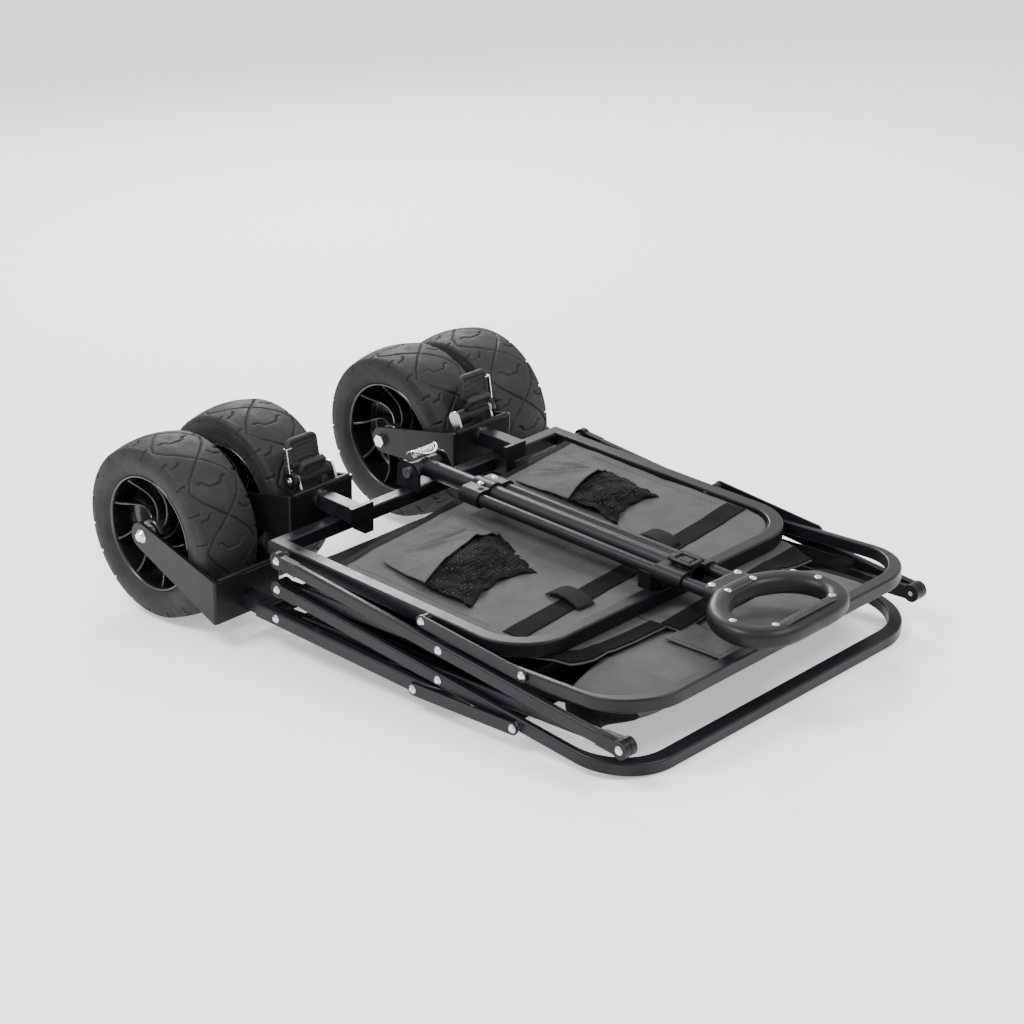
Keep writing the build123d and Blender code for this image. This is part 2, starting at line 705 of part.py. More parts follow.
# The rolled top of the tub is sewn to the inside of the front rail's closed end.
with BuildSketch(Plane.XZ) as roll_shape:
    with Locations(Location((pivot_x, 0, 0), (0, 0, degrees(fold)))):
        with Locations((rail_reach - rail_bar - seat_gap - roll_length / 2, -roll_thick / 2 - roll_drop)):
            Rectangle(roll_length, roll_thick)
    fillet(roll_shape.vertices().sort_by(Axis.Y)[0:2], roll_thick * 0.4)
with BuildPart() as roll:
    slab(roll_shape.sketch, 0, 2 * roll_half)
keep(roll, "tub_roll")

# ---- Lay the wagon down: on its rear wheels and the rear rail's closed end ----
end_x = pivot_x + (rail_reach - edge_round) * cos(fold) - (bar_height / 2 - edge_round) * sin(fold)
end_z = -(rail_reach - edge_round) * sin(fold) - (bar_height / 2 - edge_round) * cos(fold)
span = hypot(end_x - rear_axle_x, rear_axle_z - end_z)
lie_angle = degrees(asin((tyre_radius - edge_round) / span) - atan2(rear_axle_z - end_z, end_x - rear_axle_x))
turned = [piece.rotate(Axis.Y, lie_angle) for piece in finished]
boxes = [piece.bounding_box() for piece in turned]
low_x, high_x = min(box.min.X for box in boxes), max(box.max.X for box in boxes)
low_y, high_y = min(box.min.Y for box in boxes), max(box.max.Y for box in boxes)
low_z, high_z = min(box.min.Z for box in boxes), max(box.max.Z for box in boxes)
shift = Location((-(low_x + high_x) / 2, -(low_y + high_y) / 2, -low_z))
os.makedirs("parts", exist_ok=True)
for piece, source in zip(turned, finished):
    laid = piece.moved(shift)
    laid.label = source.label
    export_step(laid, f"parts/{source.label}.step")
print("lie angle", lie_angle, "shift", shift.position, "pieces", len(finished))
print("link", link_length, degrees(link_angle))
print("size", high_x - low_x, high_y - low_y, high_z - low_z)
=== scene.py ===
import json
import math
import bpy
import numpy as np
from mathutils import Matrix, Vector, noise


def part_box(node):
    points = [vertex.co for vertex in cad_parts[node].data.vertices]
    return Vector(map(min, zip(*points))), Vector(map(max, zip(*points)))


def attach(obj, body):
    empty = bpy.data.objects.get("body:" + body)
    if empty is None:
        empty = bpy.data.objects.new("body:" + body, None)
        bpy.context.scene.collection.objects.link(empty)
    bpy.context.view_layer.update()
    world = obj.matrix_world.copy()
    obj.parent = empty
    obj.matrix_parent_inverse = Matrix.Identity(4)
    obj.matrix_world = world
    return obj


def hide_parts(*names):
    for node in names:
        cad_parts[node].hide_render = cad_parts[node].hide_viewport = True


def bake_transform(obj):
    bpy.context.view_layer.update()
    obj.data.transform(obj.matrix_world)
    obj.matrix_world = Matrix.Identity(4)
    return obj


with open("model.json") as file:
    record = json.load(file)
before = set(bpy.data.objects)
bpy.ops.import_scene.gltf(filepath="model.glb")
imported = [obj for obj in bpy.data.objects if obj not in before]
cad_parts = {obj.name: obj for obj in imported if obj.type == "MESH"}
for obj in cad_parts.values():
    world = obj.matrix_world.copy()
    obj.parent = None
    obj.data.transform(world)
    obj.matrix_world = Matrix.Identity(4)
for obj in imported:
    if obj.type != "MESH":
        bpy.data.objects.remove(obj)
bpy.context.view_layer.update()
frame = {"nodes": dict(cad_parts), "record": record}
nodes = frame["nodes"]
mm = 0.001
sides = ((-1, "left"), (1, "right"))

# The pieces are drawn as the wagon stands in the workshop, in millimetres: X from the wheels
# to the grip, Y across, Z from the rear end frame to the front one. Then they are laid down.
wagon = {"lie": 4.045946970, "moved": (-0.171004, 0.0, 0.0855367)}
layDown = (
    Matrix.Translation(wagon["moved"])
    @ Matrix.Rotation(math.radians(wagon["lie"]), 4, "Y")
    @ Matrix.Scale(mm, 4)
)


# Materials.
def startMaterial(name):
    made = bpy.data.materials.new(name)
    made.use_nodes = True
    tree = made.node_tree
    shader = tree.nodes["Principled BSDF"]
    return made, tree, shader


def addNode(tree, kind, **values):
    node = tree.nodes.new(kind)
    for key, value in values.items():
        if key in node.inputs.keys():
            node.inputs[key].default_value = value
        else:
            setattr(node, key, value)
    return node


def coords(tree):
    return addNode(tree, "ShaderNodeTexCoord").outputs["Object"]


def noiseAt(tree, where, scale, detail=4.0, rough=0.55):
    texture = addNode(tree, "ShaderNodeTexNoise", Scale=scale, Detail=detail, Roughness=rough)
    tree.links.new(where, texture.inputs["Vector"])
    return texture.outputs["Fac"]


def waveAt(tree, where, direction, pitch):
    texture = addNode(tree, "ShaderNodeTexWave", Scale=0.314159 / (pitch * mm), bands_direction=direction)
    texture.inputs["Distortion"].default_value = 0.6
    texture.inputs["Detail"].default_value = 1.0
    tree.links.new(where, texture.inputs["Vector"])
    return texture.outputs["Fac"]


def ramp(tree, factor, stops):
    made = addNode(tree, "ShaderNodeValToRGB")
    bar = made.color_ramp.elements
    while len(bar) < len(stops):
        bar.new(0.5)
    for element, (place, shade) in zip(bar, stops):
        element.position = place
        element.color = (*shade, 1) if len(shade) == 3 else (shade[0],) * 3 + (1,)
    tree.links.new(factor, made.inputs["Fac"])
    return made.outputs["Color"]


def combine(tree, operation, a, b):
    made = addNode(tree, "ShaderNodeMath", operation=operation)
    for socket, value in zip(made.inputs, (a, b)):
        if isinstance(value, (int, float)):
            socket.default_value = value
        else:
            tree.links.new(value, socket)
    return made.outputs["Value"]


def bump(tree, shader, height, strength, distance):
    made = addNode(tree, "ShaderNodeBump", Strength=strength, Distance=distance * mm)
    tree.links.new(height, made.inputs["Height"])
    tree.links.new(made.outputs["Normal"], shader.inputs["Normal"])


def smoothFinish(name, dark, light, roughLow, roughHigh, grain, depth, metal=0.0, blotch=14, shine=0.24):
    # A paint, plastic, rubber or metal: cloudy colour, uneven gloss and a fine grain.
    made, tree, shader = startMaterial(name)
    where = coords(tree)
    cloud = noiseAt(tree, where, blotch, 6, 0.6)
    tree.links.new(ramp(tree, cloud, [(0.3, dark), (0.72, light)]), shader.inputs["Base Color"])
    gloss = ramp(tree, noiseAt(tree, where, blotch * 3, 5, 0.65), [(0.3, (roughLow,)), (0.75, (roughHigh,))])
    tree.links.new(gloss, shader.inputs["Roughness"])
    bump(tree, shader, noiseAt(tree, where, grain, 3, 0.6), 0.5, depth)
    shader.inputs["Metallic"].default_value = metal
    shader.inputs["Specular IOR Level"].default_value = shine
    return made


def clothFinish(name, dark, light, pitch, depth, sheen=0.05, rough=0.86, ribs=False, shine=0.12):
    # A plain weave, or ribbed webbing, with fibres and a slight fade.
    made, tree, shader = startMaterial(name)
    where = coords(tree)
    across = waveAt(tree, where, "X", pitch)
    along = waveAt(tree, where, "Y", pitch if not ribs else pitch * 2.5)
    weave = combine(tree, "ADD" if ribs else "MULTIPLY", across, along)
    fibre = noiseAt(tree, where, 900, 3, 0.7)
    fade = noiseAt(tree, where, 22, 6, 0.62)
    weaveShare, fibreShare, fadeShare = 0.3, 0.45, 0.3
    threads = combine(tree, "ADD", combine(tree, "MULTIPLY", weave, weaveShare),
                      combine(tree, "MULTIPLY", fibre, fibreShare))
    shade = combine(tree, "ADD", threads, combine(tree, "MULTIPLY", fade, fadeShare))
    tree.links.new(ramp(tree, shade, [(0.24, dark), (0.66, light)]), shader.inputs["Base Color"])
    shader.inputs["Roughness"].default_value = rough
    shader.inputs["Sheen Weight"].default_value = sheen
    shader.inputs["Sheen Roughness"].default_value = 0.5
    shader.inputs["Specular IOR Level"].default_value = shine
    bump(tree, shader, combine(tree, "ADD", weave, fibre), 0.7, depth)
    return made


def netFinish(name):
    # An open knitted net: dark threads round small cells that let the lining show.
    made, tree, shader = startMaterial(name)
    where = coords(tree)
    cells = addNode(tree, "ShaderNodeTexVoronoi", feature="DISTANCE_TO_EDGE", Scale=210.0, Randomness=0.35)
    tree.links.new(where, cells.inputs["Vector"])
    tree.links.new(ramp(tree, cells.outputs["Distance"], [(0.2, (0.0025,) * 3), (0.42, (0.032,) * 3)]),
                   shader.inputs["Base Color"])
    shader.inputs["Roughness"].default_value = 0.8
    shader.inputs["Specular IOR Level"].default_value = 0.1
    bump(tree, shader, ramp(tree, cells.outputs["Distance"], [(0.05, (1,)), (0.25, (0,))]), 0.9, 0.8)
    return made


# Each smooth finish: darkest and lightest colour, lowest and highest roughness, grain's scale and depth.
framePaint = smoothFinish("satinPowderCoat", (0.0045, 0.0052, 0.0066), (0.009, 0.0102, 0.0125),
    0.3, 0.44, 700, 0.05)
forkPaint = smoothFinish("forkPowderCoat", (0.004, 0.0043, 0.005), (0.0075, 0.008, 0.0095),
    0.26, 0.42, 520, 0.07)
fittingPlastic = smoothFinish("blackNylon", (0.003, 0.003, 0.0033), (0.0065, 0.0065, 0.007),
    0.3, 0.46, 1500, 0.05)
gripPlastic = smoothFinish("grainedGripPlastic", (0.0075, 0.007, 0.007), (0.012, 0.0112, 0.0112),
    0.34, 0.5, 1700, 0.09)
rimPlastic = smoothFinish("glossyRimPlastic", (0.003, 0.003, 0.0038), (0.007, 0.0072, 0.009),
    0.16, 0.3, 300, 0.03, shine=0.75)
tyreRubber = smoothFinish("dustyTyreRubber", (0.009, 0.0088, 0.009), (0.02, 0.0195, 0.0195),
    0.55, 0.78, 1100, 0.12, blotch=26, shine=0.3)
padRubber = smoothFinish("stippledPadRubber", (0.016, 0.0155, 0.0155), (0.03, 0.029, 0.029),
    0.55, 0.75, 2200, 0.1)
boltZinc = smoothFinish("brightZinc", (0.5, 0.51, 0.53), (0.74, 0.75, 0.77),
    0.2, 0.36, 900, 0.04, metal=1.0, shine=0.5)

# Each cloth: darkest and lightest colour, thread pitch and relief in millimetres.
greyCloth = clothFinish("greyPolyesterWeave", (0.03, 0.0295, 0.0295), (0.112, 0.11, 0.109), 1.1, 0.22)
darkCloth = clothFinish("blackLiningWeave", (0.002, 0.002, 0.0022), (0.009, 0.009, 0.0095),
    1.1, 0.2, sheen=0.01)
webbing = clothFinish("blackRibbedWebbing", (0.0015, 0.0015, 0.0015), (0.014, 0.0135, 0.013),
    1.6, 0.5, sheen=0.01, ribs=True)
fuzzTape = clothFinish("fuzzyHookTape", (0.001, 0.001, 0.0012), (0.006, 0.006, 0.007),
    0.8, 0.6, sheen=0.02, rough=0.95)
pocketNet = netFinish("blackPocketNet")
threadPaint = clothFinish("darkThread", (0.004, 0.004, 0.004), (0.02, 0.02, 0.02), 0.6, 0.1)
print("materials ready")

finishes = {
    "painted_tube": framePaint,
    "fork_paint": forkPaint,
    "black_plastic": fittingPlastic,
    "grip_plastic": gripPlastic,
    "rim_plastic": rimPlastic,
    "tyre": tyreRubber,
    "zinc": boltZinc,
    "grey_fabric": greyCloth,
    "black_fabric": darkCloth,
}
slotOf = {part["node"]: part["material_slot"] for part in frame["record"]["subparts"]}
for name, node in nodes.items():
    node.data.materials.clear()
    node.data.materials.append(finishes[slotOf[name]])
print("frame painted")


# Helpers that make a piece.
def makePiece(name, points, faces, material, body, smooth=True):
    mesh = bpy.data.meshes.new(name)
    mesh.from_pydata([tuple(p) for p in points], [], faces)
    mesh.transform(layDown)
    mesh.materials.append(material)
    mesh.polygons.foreach_set("use_smooth", [smooth] * len(mesh.polygons))
    piece = bpy.data.objects.new(name, mesh)
    bpy.context.scene.collection.objects.link(piece)
    if body:
        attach(piece, body)
    return piece


def gridFaces(rows, columns, closed=False):
    faces = []
    for i in range(rows - 1):
        for j in range(columns if closed else columns - 1):
            k = (j + 1) % columns
            faces.append((i * columns + j, i * columns + k, (i + 1) * columns + k, (i + 1) * columns + j))
    return faces


def shifted(faces, first):
    return [tuple(k + first for k in face) for face in faces]


def ringAcross(x, z, radius, side, count):
    # A ring of points round the Y axis direction, about (x, z), at the given Y.
    turns = [2 * math.pi * k / count for k in range(count)]
    return [(x + radius * math.cos(turn), side, z + radius * math.sin(turn)) for turn in turns]


def gridPoints(place, rows, columns):
    return [place(i / (rows - 1), j / (columns - 1)) for i in range(rows) for j in range(columns)]


def squarish(value, power):
    # A sine or cosine raised to a power below one, which squares off a round section.
    return math.copysign(abs(value) ** power, value)


def crumple(x, y, size, seed):
    return noise.fractal(Vector((x / size, y / size, seed)), 1.0, 2.0, 4)


def clothPiece(name, place, rows, columns, thick, material, body):
    # place(u, v) gives a point of the cloth's middle for u and v from 0 to 1.
    points = gridPoints(place, rows, columns)
    piece = makePiece(name, points, gridFaces(rows, columns), material, body)
    solid = piece.modifiers.new("thickness", "SOLIDIFY")
    solid.thickness = thick * mm
    solid.offset = 0.0
    return piece


boxFaces = ((3, 2, 1, 0), (4, 5, 6, 7), (0, 1, 5, 4), (1, 2, 6, 5), (2, 3, 7, 6), (3, 0, 4, 7))


def blockPiece(name, blocks, material, body, bevel=0.8):
    # Blocks given as (centre, way one, way two, half sizes), with softened edges, in one piece.
    points, faces = [], []
    for centre, one, two, sizes in blocks:
        one, two = np.array(one, float), np.array(two, float)
        one, two = one / np.linalg.norm(one), two / np.linalg.norm(two)
        axes = (one, two, np.cross(one, two))
        first = len(points)
        for c in (-1, 1):
            for a, b in ((-1, -1), (1, -1), (1, 1), (-1, 1)):
                steps = (axis * size * sign for axis, size, sign in zip(axes, sizes, (a, b, c)))
                points.append(sum(steps, np.array(centre, float)))
        faces += shifted(boxFaces, first)
    piece = makePiece(name, points, faces, material, body, smooth=False)
    soft = piece.modifiers.new("softEdges", "BEVEL")
    soft.width, soft.segments = bevel * mm, 3
    return piece


def wirePiece(name, paths, radius, material, body, around=14):
    # Round bent wires, one along each path.
    points, faces = [], []
    for path in paths:
        line = np.array(path, float)
        first = len(points)
        for k, spot in enumerate(line):
            ahead = line[min(k + 1, len(line) - 1)] - line[max(k - 1, 0)]
            ahead /= np.linalg.norm(ahead)
            side = np.cross(ahead, (0.31, 0.17, 0.93))
            side /= np.linalg.norm(side)
            above = np.cross(side, ahead)
            for j in range(around):
                turn = 2 * math.pi * j / around
                points.append(spot + radius * (side * math.cos(turn) + above * math.sin(turn)))
        faces += shifted(gridFaces(len(line), around, closed=True), first)
        faces.append(tuple(first + j for j in range(around))[::-1])
        faces.append(tuple(first + (len(line) - 1) * around + j for j in range(around)))
    return makePiece(name, points, faces, material, body)


def quadAt(corners, u, v):
    # A point between four corners: u from the first edge to the second, v along them.
    a, b, c, d = (np.array(p, float) for p in corners)
    return (a * (1 - v) + b * v) * (1 - u) + (d * (1 - v) + c * v) * u


# Camera, floor and light.
shot = {"place": (2029.1, -2005.0, 1307.8), "azimuth": 43.04, "elevation": 24.58, "roll": 0.94, "lens": 89.32}
azimuth, elevation = math.radians(shot["azimuth"]), math.radians(shot["elevation"])
back = Vector((
    math.sin(azimuth) * math.cos(elevation),
    -math.cos(azimuth) * math.cos(elevation),
    math.sin(elevation),
))
right = Vector((math.cos(azimuth), math.sin(azimuth), 0))
up = back.cross(right)
roll = math.radians(shot["roll"])
rightTilted = right * math.cos(roll) + up * math.sin(roll)
upTilted = back.cross(rightTilted)
turned = Matrix.Rotation(math.radians(wagon["lie"]), 3, "Y")
cameraData = bpy.data.cameras.new("camera")
cameraData.lens = shot["lens"]
cameraData.sensor_width = 36
cameraData.clip_start, cameraData.clip_end = 0.05, 60
cameraPiece = bpy.data.objects.new("camera", cameraData)
bpy.context.scene.collection.objects.link(cameraPiece)
axes = Matrix((turned @ rightTilted, turned @ upTilted, turned @ back)).transposed()
cameraPiece.matrix_world = Matrix.Translation(layDown @ Vector(shot["place"])) @ axes.to_4x4()
bpy.context.scene.camera = cameraPiece

studio = {
    "floorShade": (0.93, 0.93, 0.93),
    "skyShade": (1.0, 1.0, 1.0),
    "floorGlow": 0.45,
    "skyStrength": 1.1,
    "lights": [((-0.6, -1.6, 2.6), 1.2, 80), ((1.8, 0.9, 2.2), 0.8, 40), ((-1.9, 1.4, 1.5), 0.8, 50)],
}
floorMesh = bpy.data.meshes.new("floor")
reach = 14.0
floorCorners = [(-reach, -reach, 0), (reach, -reach, 0), (reach, reach, 0), (-reach, reach, 0)]
floorMesh.from_pydata(floorCorners, [], [(0, 1, 2, 3)])
floor = bpy.data.objects.new("floor", floorMesh)
floor.location.z = -0.0005
bpy.context.scene.collection.objects.link(floor)
floorMaterial, _, floorShader = startMaterial("paleFloor")
floorShader.inputs["Base Color"].default_value = (*studio["floorShade"], 1)
floorShader.inputs["Roughness"].default_value = 0.9
floorShader.inputs["Emission Color"].default_value = (*studio["skyShade"], 1)
floorShader.inputs["Emission Strength"].default_value = studio["floorGlow"]
floorMesh.materials.append(floorMaterial)
sky = bpy.data.worlds.new("studioSky")
sky.use_nodes = True
backdrop = sky.node_tree.nodes["Background"]
backdrop.inputs["Color"].default_value = (*studio["skyShade"], 1)
backdrop.inputs["Strength"].default_value = studio["skyStrength"]
bpy.context.scene.world = sky
for count, (place, size, power) in enumerate(studio["lights"]):
    lamp = bpy.data.lights.new(f"softbox{count}", "AREA")
    lamp.shape, lamp.size, lamp.energy = "DISK", size, power
    holder = bpy.data.objects.new(f"softbox{count}", lamp)
    holder.location = place
    holder.rotation_euler = (-Vector(place)).to_track_quat("-Z", "Y").to_euler()
    bpy.context.scene.collection.objects.link(holder)
print("studio ready")

# Tyres and rims.
tyre = {"radius": 112.0, "half": 45.0, "crown": 5.0, "seat": 73.1, "repeats": 9,
        "edge": 36.0, "depth": 2.2, "groove": 0.75, "soften": 0.8, "notch": 1.9, "columns": 640}


def tyreProfile():
    # Radius and side of points from one bead round the tread to the other.
    tread = tyre["radius"] - tyre["crown"]
    sideWall = [(tyre["seat"], 39.0), (76.0, 41.2), (79.0, 43.0), (80.2, 43.9), (82.5, 44.0), (83.5, 44.5),
                (91.0, tyre["half"])]
    for step in range(1, 6):
        sideWall.append((91.0 + 1.9 * step, tyre["half"] - 0.08 * step * step))
    for step in range(1, 10):
        turn = math.pi / 2 * step / 10
        sideWall.append((100.5 + 6.5 * math.sin(turn), 36.0 + 7.0 * math.cos(turn)))
    edge = tyre["edge"]
    top = []
    steps = 62
    for step in range(steps + 1):
        across = edge - 2 * edge * step / steps
        top.append((tread + tyre["crown"] * (1 - (across / edge) ** 2), across))
    otherSide = [(radius, -across) for radius, across in reversed(sideWall)]
    return sideWall + top + otherSide


def treadLines():
    # One repeat of the tread, as lines between points (along the tread, across it).
    pitch = 2 * math.pi * tyre["radius"] / tyre["repeats"]
    lines = []
    for flip in (1, -1):
        lines.append([(0.0, -36 * flip), (0.2 * pitch, -27 * flip), (0.4 * pitch, -10 * flip),
                      (0.6 * pitch, 10 * flip), (0.8 * pitch, 27 * flip), (pitch, 36 * flip)])
        lines.append([(0.52 * pitch, -36 * flip), (0.52 * pitch, -27 * flip), (0.6 * pitch, -22 * flip)])
        lines.append([(0.0, -9 * flip), (0.1 * pitch, -15 * flip), (0.1 * pitch, -20 * flip)])
    lines.append([(0.0, -9.0), (0.0, 9.0)])
    return pitch, lines


def wheelMesh(name, points, faces, material):
    mesh = bpy.data.meshes.new(name)
    mesh.from_pydata((np.array(points) * mm).tolist(), [], faces)
    mesh.materials.append(material)
    mesh.polygons.foreach_set("use_smooth", [True] * len(mesh.polygons))
    return mesh


def buildTyre():
    profile = np.array(tyreProfile())
    columns = tyre["columns"]
    theta = np.arange(columns) * 2 * math.pi / columns
    pitch, lines = treadLines()
    along = (theta * tyre["radius"])[None, :] % pitch
    across = profile[:, 1][:, None]
    near = np.full((len(profile), columns), 1e6)
    for line in lines:
        for (u0, v0), (u1, v1) in zip(line, line[1:]):
            for offset in (-pitch, 0, pitch):
                du, dv = u1 - u0, v1 - v0
                pu, pv = along - u0 - offset, across - v0
                share = np.clip((pu * du + pv * dv) / (du * du + dv * dv), 0, 1)
                near = np.minimum(near, np.hypot(pu - share * du, pv - share * dv))
    cut = np.clip((tyre["groove"] + tyre["soften"] - near) / tyre["soften"], 0, 1)
    cut = cut * cut * (3 - 2 * cut) * (np.abs(across) < 36.5)
    notchAlong = np.abs((along + pitch * 0.1) % (pitch / 2) - pitch / 4)
    notch = np.clip((tyre["notch"] - notchAlong) / 0.9, 0, 1) * (np.abs(across) > 35.5)
    notch = notch * (profile[:, 0][:, None] > 97)  # none below the shoulder
    radius = profile[:, 0][:, None] - tyre["depth"] * np.maximum(cut, notch * 0.9)
    side = np.broadcast_to(across, radius.shape) - np.sign(across) * notch * 1.2
    points = np.stack([radius * np.cos(theta), side, radius * np.sin(theta)], -1).reshape(-1, 3)
    return wheelMesh("treadedTyre", points, gridFaces(len(profile), columns, closed=True), tyreRubber)


rimShape = {"lip": 40.2, "face": 36.0, "bore": 5.6, "hub": 17.0, "barrel": 68.0, "base": 3.5, "vanes": 9,
            "thick": 3.0, "swirl": 1.0, "columns": 180}
# How far each wheel is turned, in radians.
wheelStart = {"front_left": 0.3, "front_right": 1.1, "rear_left": 0.0, "rear_right": 0.7}


def buildRim():
    # A deep dish turned round the axle, with curved vanes that stand up from it on both sides.
    lip, face, hub, barrel, base = (rimShape[key] for key in ("lip", "face", "hub", "barrel", "base"))
    profile = [(73.0, lip - 1.6), (72.3, lip - 0.3), (70.8, lip), (69.6, lip - 1.2), (69.0, lip - 5),
               (barrel, 20.0), (66.5, 9.0), (63.0, 5.2), (57.0, base), (40.0, base - 0.5), (24.0, base),
               (19.0, base + 2.5), (hub + 0.3, base + 7), (hub, face - 2.0), (hub - 1.8, face),
               (rimShape["bore"], face)]
    rows = profile + [(radius, -side) for radius, side in reversed(profile)]
    rows.append(rows[0])
    count = rimShape["columns"]
    points = [spot for radius, side in rows for spot in ringAcross(0, 0, radius, side, count)]
    faces = gridFaces(len(rows), count, closed=True)
    steps, half = 30, rimShape["thick"] / 2
    for flip in (1, -1):
        for vane in range(rimShape["vanes"]):
            first = len(points)
            for step in range(steps):
                share = step / (steps - 1)
                radius = hub - 1.0 + (barrel + 1.2 - hub) * share
                turn = 2 * math.pi * vane / rimShape["vanes"] - rimShape["swirl"] * (1 - share) ** 2.1
                top = face - 5.0 - 9.0 * math.sin(math.pi * share) ** 1.1 + 6.0 * share * share
                section = [(-1.3, base - 1), (-1.0, top - 1.4), (-0.55, top - 0.3),
                           (0.55, top - 0.3), (1.0, top - 1.4), (1.3, base - 1)]
                for offset, side in section:
                    spot = turn + offset * half / radius
                    points.append((radius * math.cos(spot), flip * side, radius * math.sin(spot)))
            added = shifted(gridFaces(steps, 6), first)
            faces += added if flip > 0 else [face[::-1] for face in added]
    return wheelMesh("vanedRim", points, faces, rimPlastic)


for kind, shared, slotName in (("tyre", buildTyre(), "tyre"), ("rim", buildRim(), "rim_plastic")):
    for place, start in wheelStart.items():
        low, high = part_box(f"tyre_{place}")
        mirror = "right" in place
        mesh = shared.copy()
        mesh.transform(Matrix.Rotation(start, 4, "Y") @ Matrix.Diagonal((1, -1 if mirror else 1, 1, 1)))
        if mirror:
            mesh.flip_normals()
        title = "treaded_tyre" if kind == "tyre" else "vaned_rim"
        piece = bpy.data.objects.new(f"{title}_{place}", mesh)
        bpy.context.scene.collection.objects.link(piece)
        piece.matrix_world = Matrix.Translation((low + high) / 2)
        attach(piece, f"wheel_{place}")
        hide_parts(f"{kind}_{place}")
print("wheels ready")

# Front panel inside the front frame.
panel = {"inside": 227.5, "closed": 389.0, "corner": 54.0, "edge": 66.0, "skew": -0.125,
         "height": 38.5, "thick": 2.4, "sag": 2.6, "ripple": 1.9, "crease": 0.7}


def panelStart(y):
    return panel["edge"] + panel["skew"] * y


def panelEnd(y):
    beyond = max(0.0, abs(y) - (panel["inside"] - panel["corner"]))
    return panel["closed"] - panel["corner"] + math.sqrt(max(0.0, panel["corner"] ** 2 - beyond ** 2))


def panelHeight(x, y):
    sagAcross = panel["sag"] * math.cos(math.pi * y / (2 * panel["inside"]))
    sag = sagAcross * math.sin(math.pi * max(0, x - 60) / 330)
    ripple = panel["ripple"] * crumple(x, y, 95, 3.1) + panel["crease"] * crumple(x, y * 0.6, 30, 8.2)
    return panel["height"] - sag + ripple


def panelPoint(u, v):
    y = panel["inside"] * (2 * v - 1)
    x = panelStart(y) * (1 - u) + panelEnd(y) * u
    return (x, y, panelHeight(x, y))


panelPiece = clothPiece("front_panel_cloth", panelPoint, 110, 150, panel["thick"], greyCloth,
                        "front_frame")
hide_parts("front_panel")


def edgeTape(name, path, wide, thick, rows=60):
    # A tape folded over an edge: path(t) gives the edge's point and the way into the cloth.
    points = []
    for i in range(rows):
        centre, inward = path(i / (rows - 1))
        centre, inward = np.array(centre, float), np.array(inward, float)
        inward = inward / np.linalg.norm(inward)
        lift = np.array((0, 0, thick))
        points += [centre + inward * wide - lift, centre - inward * 0.8 - lift * 0.8, centre - inward * 1.4,
                   centre - inward * 0.8 + lift * 0.8, centre + inward * wide + lift]
    return makePiece(name, points, gridFaces(rows, 5), darkCloth, "front_frame")


def panelEdgePath(t):
    y = panel["inside"] * (2 * t - 1)
    x = panelStart(y)
    return (x, y, panelHeight(x, y)), (1, 0, 0)


panelTape = edgeTape("front_panel_binding", panelEdgePath, 9.0, 2.0)

# Pockets: a creased flap over a net pouch with a bound mouth.
# Each pocket: corners of its flap and of its mouth, and its folds as (middle, slant, width, height).
pockets = {
    "near": {
        "flap": [(132, -188), (214, -203), (168, -33), (95, -31)],
        "mouth": [(281, -199), (252, -120), (268, -77)],
        "seed": 1.7,
        "folds": [(0.3, 0.5, 0.035, 5.5), (0.42, 0.75, 0.03, -4.5), (0.62, 0.35, 0.04, 5.0),
                  (0.74, 0.1, 0.05, -3.5), (0.86, -0.25, 0.035, 4.0)],
        "flapFlat": (0.098, 0.17), "netFlat": (0.075, 0.15), "bindingFlat": (0.0155, 0.16),
    },
    "far": {
        "flap": [(80, 88), (170, 85), (152, 194), (58, 218)],
        "mouth": [(247, 86), (222, 132), (232, 180)],
        "seed": 5.3,
        "folds": [(0.25, 0.45, 0.04, 4.5), (0.4, 0.5, 0.035, -4.0), (0.6, 0.2, 0.04, 5.0),
                  (0.78, -0.1, 0.05, -3.0)],
        "flapFlat": (0.105, 0.135), "netFlat": (0.08, 0.11), "bindingFlat": (0.0155, 0.12),
    },
}


def flapPoint(pocket, u, v):
    # u runs from the sewn edge to the open one, v from the near end to the far one.
    a, b, c, d = pocket["flap"]
    x, y, _ = quadAt([(*a, 0), (*b, 0), (*c, 0), (*d, 0)], v, u)
    hump = math.sin(math.pi * min(1, 0.06 + v * 0.98)) ** 0.7
    lift = 2.5 + 21.0 * u ** 1.5 * hump
    creases = 0.0
    for middle, slant, wide, tall in pocket["folds"]:
        away = (v - middle - slant * (u - 0.2)) / wide
        creases += tall * math.exp(-abs(away) ** 1.3)
    loose = 3.0 * crumple(x + 40 * pocket["seed"], y, 34, pocket["seed"])
    easeAlong = math.sin(math.pi * min(1.0, u * 0.85 + 0.04)) ** 0.6
    easeAcross = math.sin(math.pi * min(1, 0.03 + v * 0.95)) ** 0.5
    return (x, y, panelHeight(x, y) + 1.8 + lift + (creases + loose) * easeAlong * easeAcross)


def netPoint(pocket, u, v):
    # u runs from under the flap to the mouth, v from the near end to the far one.
    _, nearEnd, farEnd, _ = pocket["flap"]
    first, middle, last = pocket["mouth"]
    startX, startY = np.array(nearEnd) * (1 - v) + np.array(farEnd) * v
    along = 1 - v
    mouthX = first[0] * along ** 2 + 2 * (middle[0] - 12) * along * v + last[0] * v ** 2
    mouthY = first[1] * along ** 2 + 2 * middle[1] * along * v + last[1] * v ** 2
    x, y = startX * (1 - u) + mouthX * u, startY * (1 - u) + mouthY * u
    bulge = 19.0 * math.sin(math.pi * min(1, 0.06 + v * 0.98)) ** 0.7 * (1 - 0.25 * u - 0.6 * u ** 3)
    pucker = 2.6 * math.sin(v * 21 + 3 * u) * u * (1 - v * 0.4)
    ripple = 5.0 * crumple(x, y, 30, pocket["seed"] + 4) * math.sin(math.pi * min(1, u * 0.8 + 0.1))
    return (x, y, panelHeight(x, y) + 2.6 + bulge + pucker + ripple)


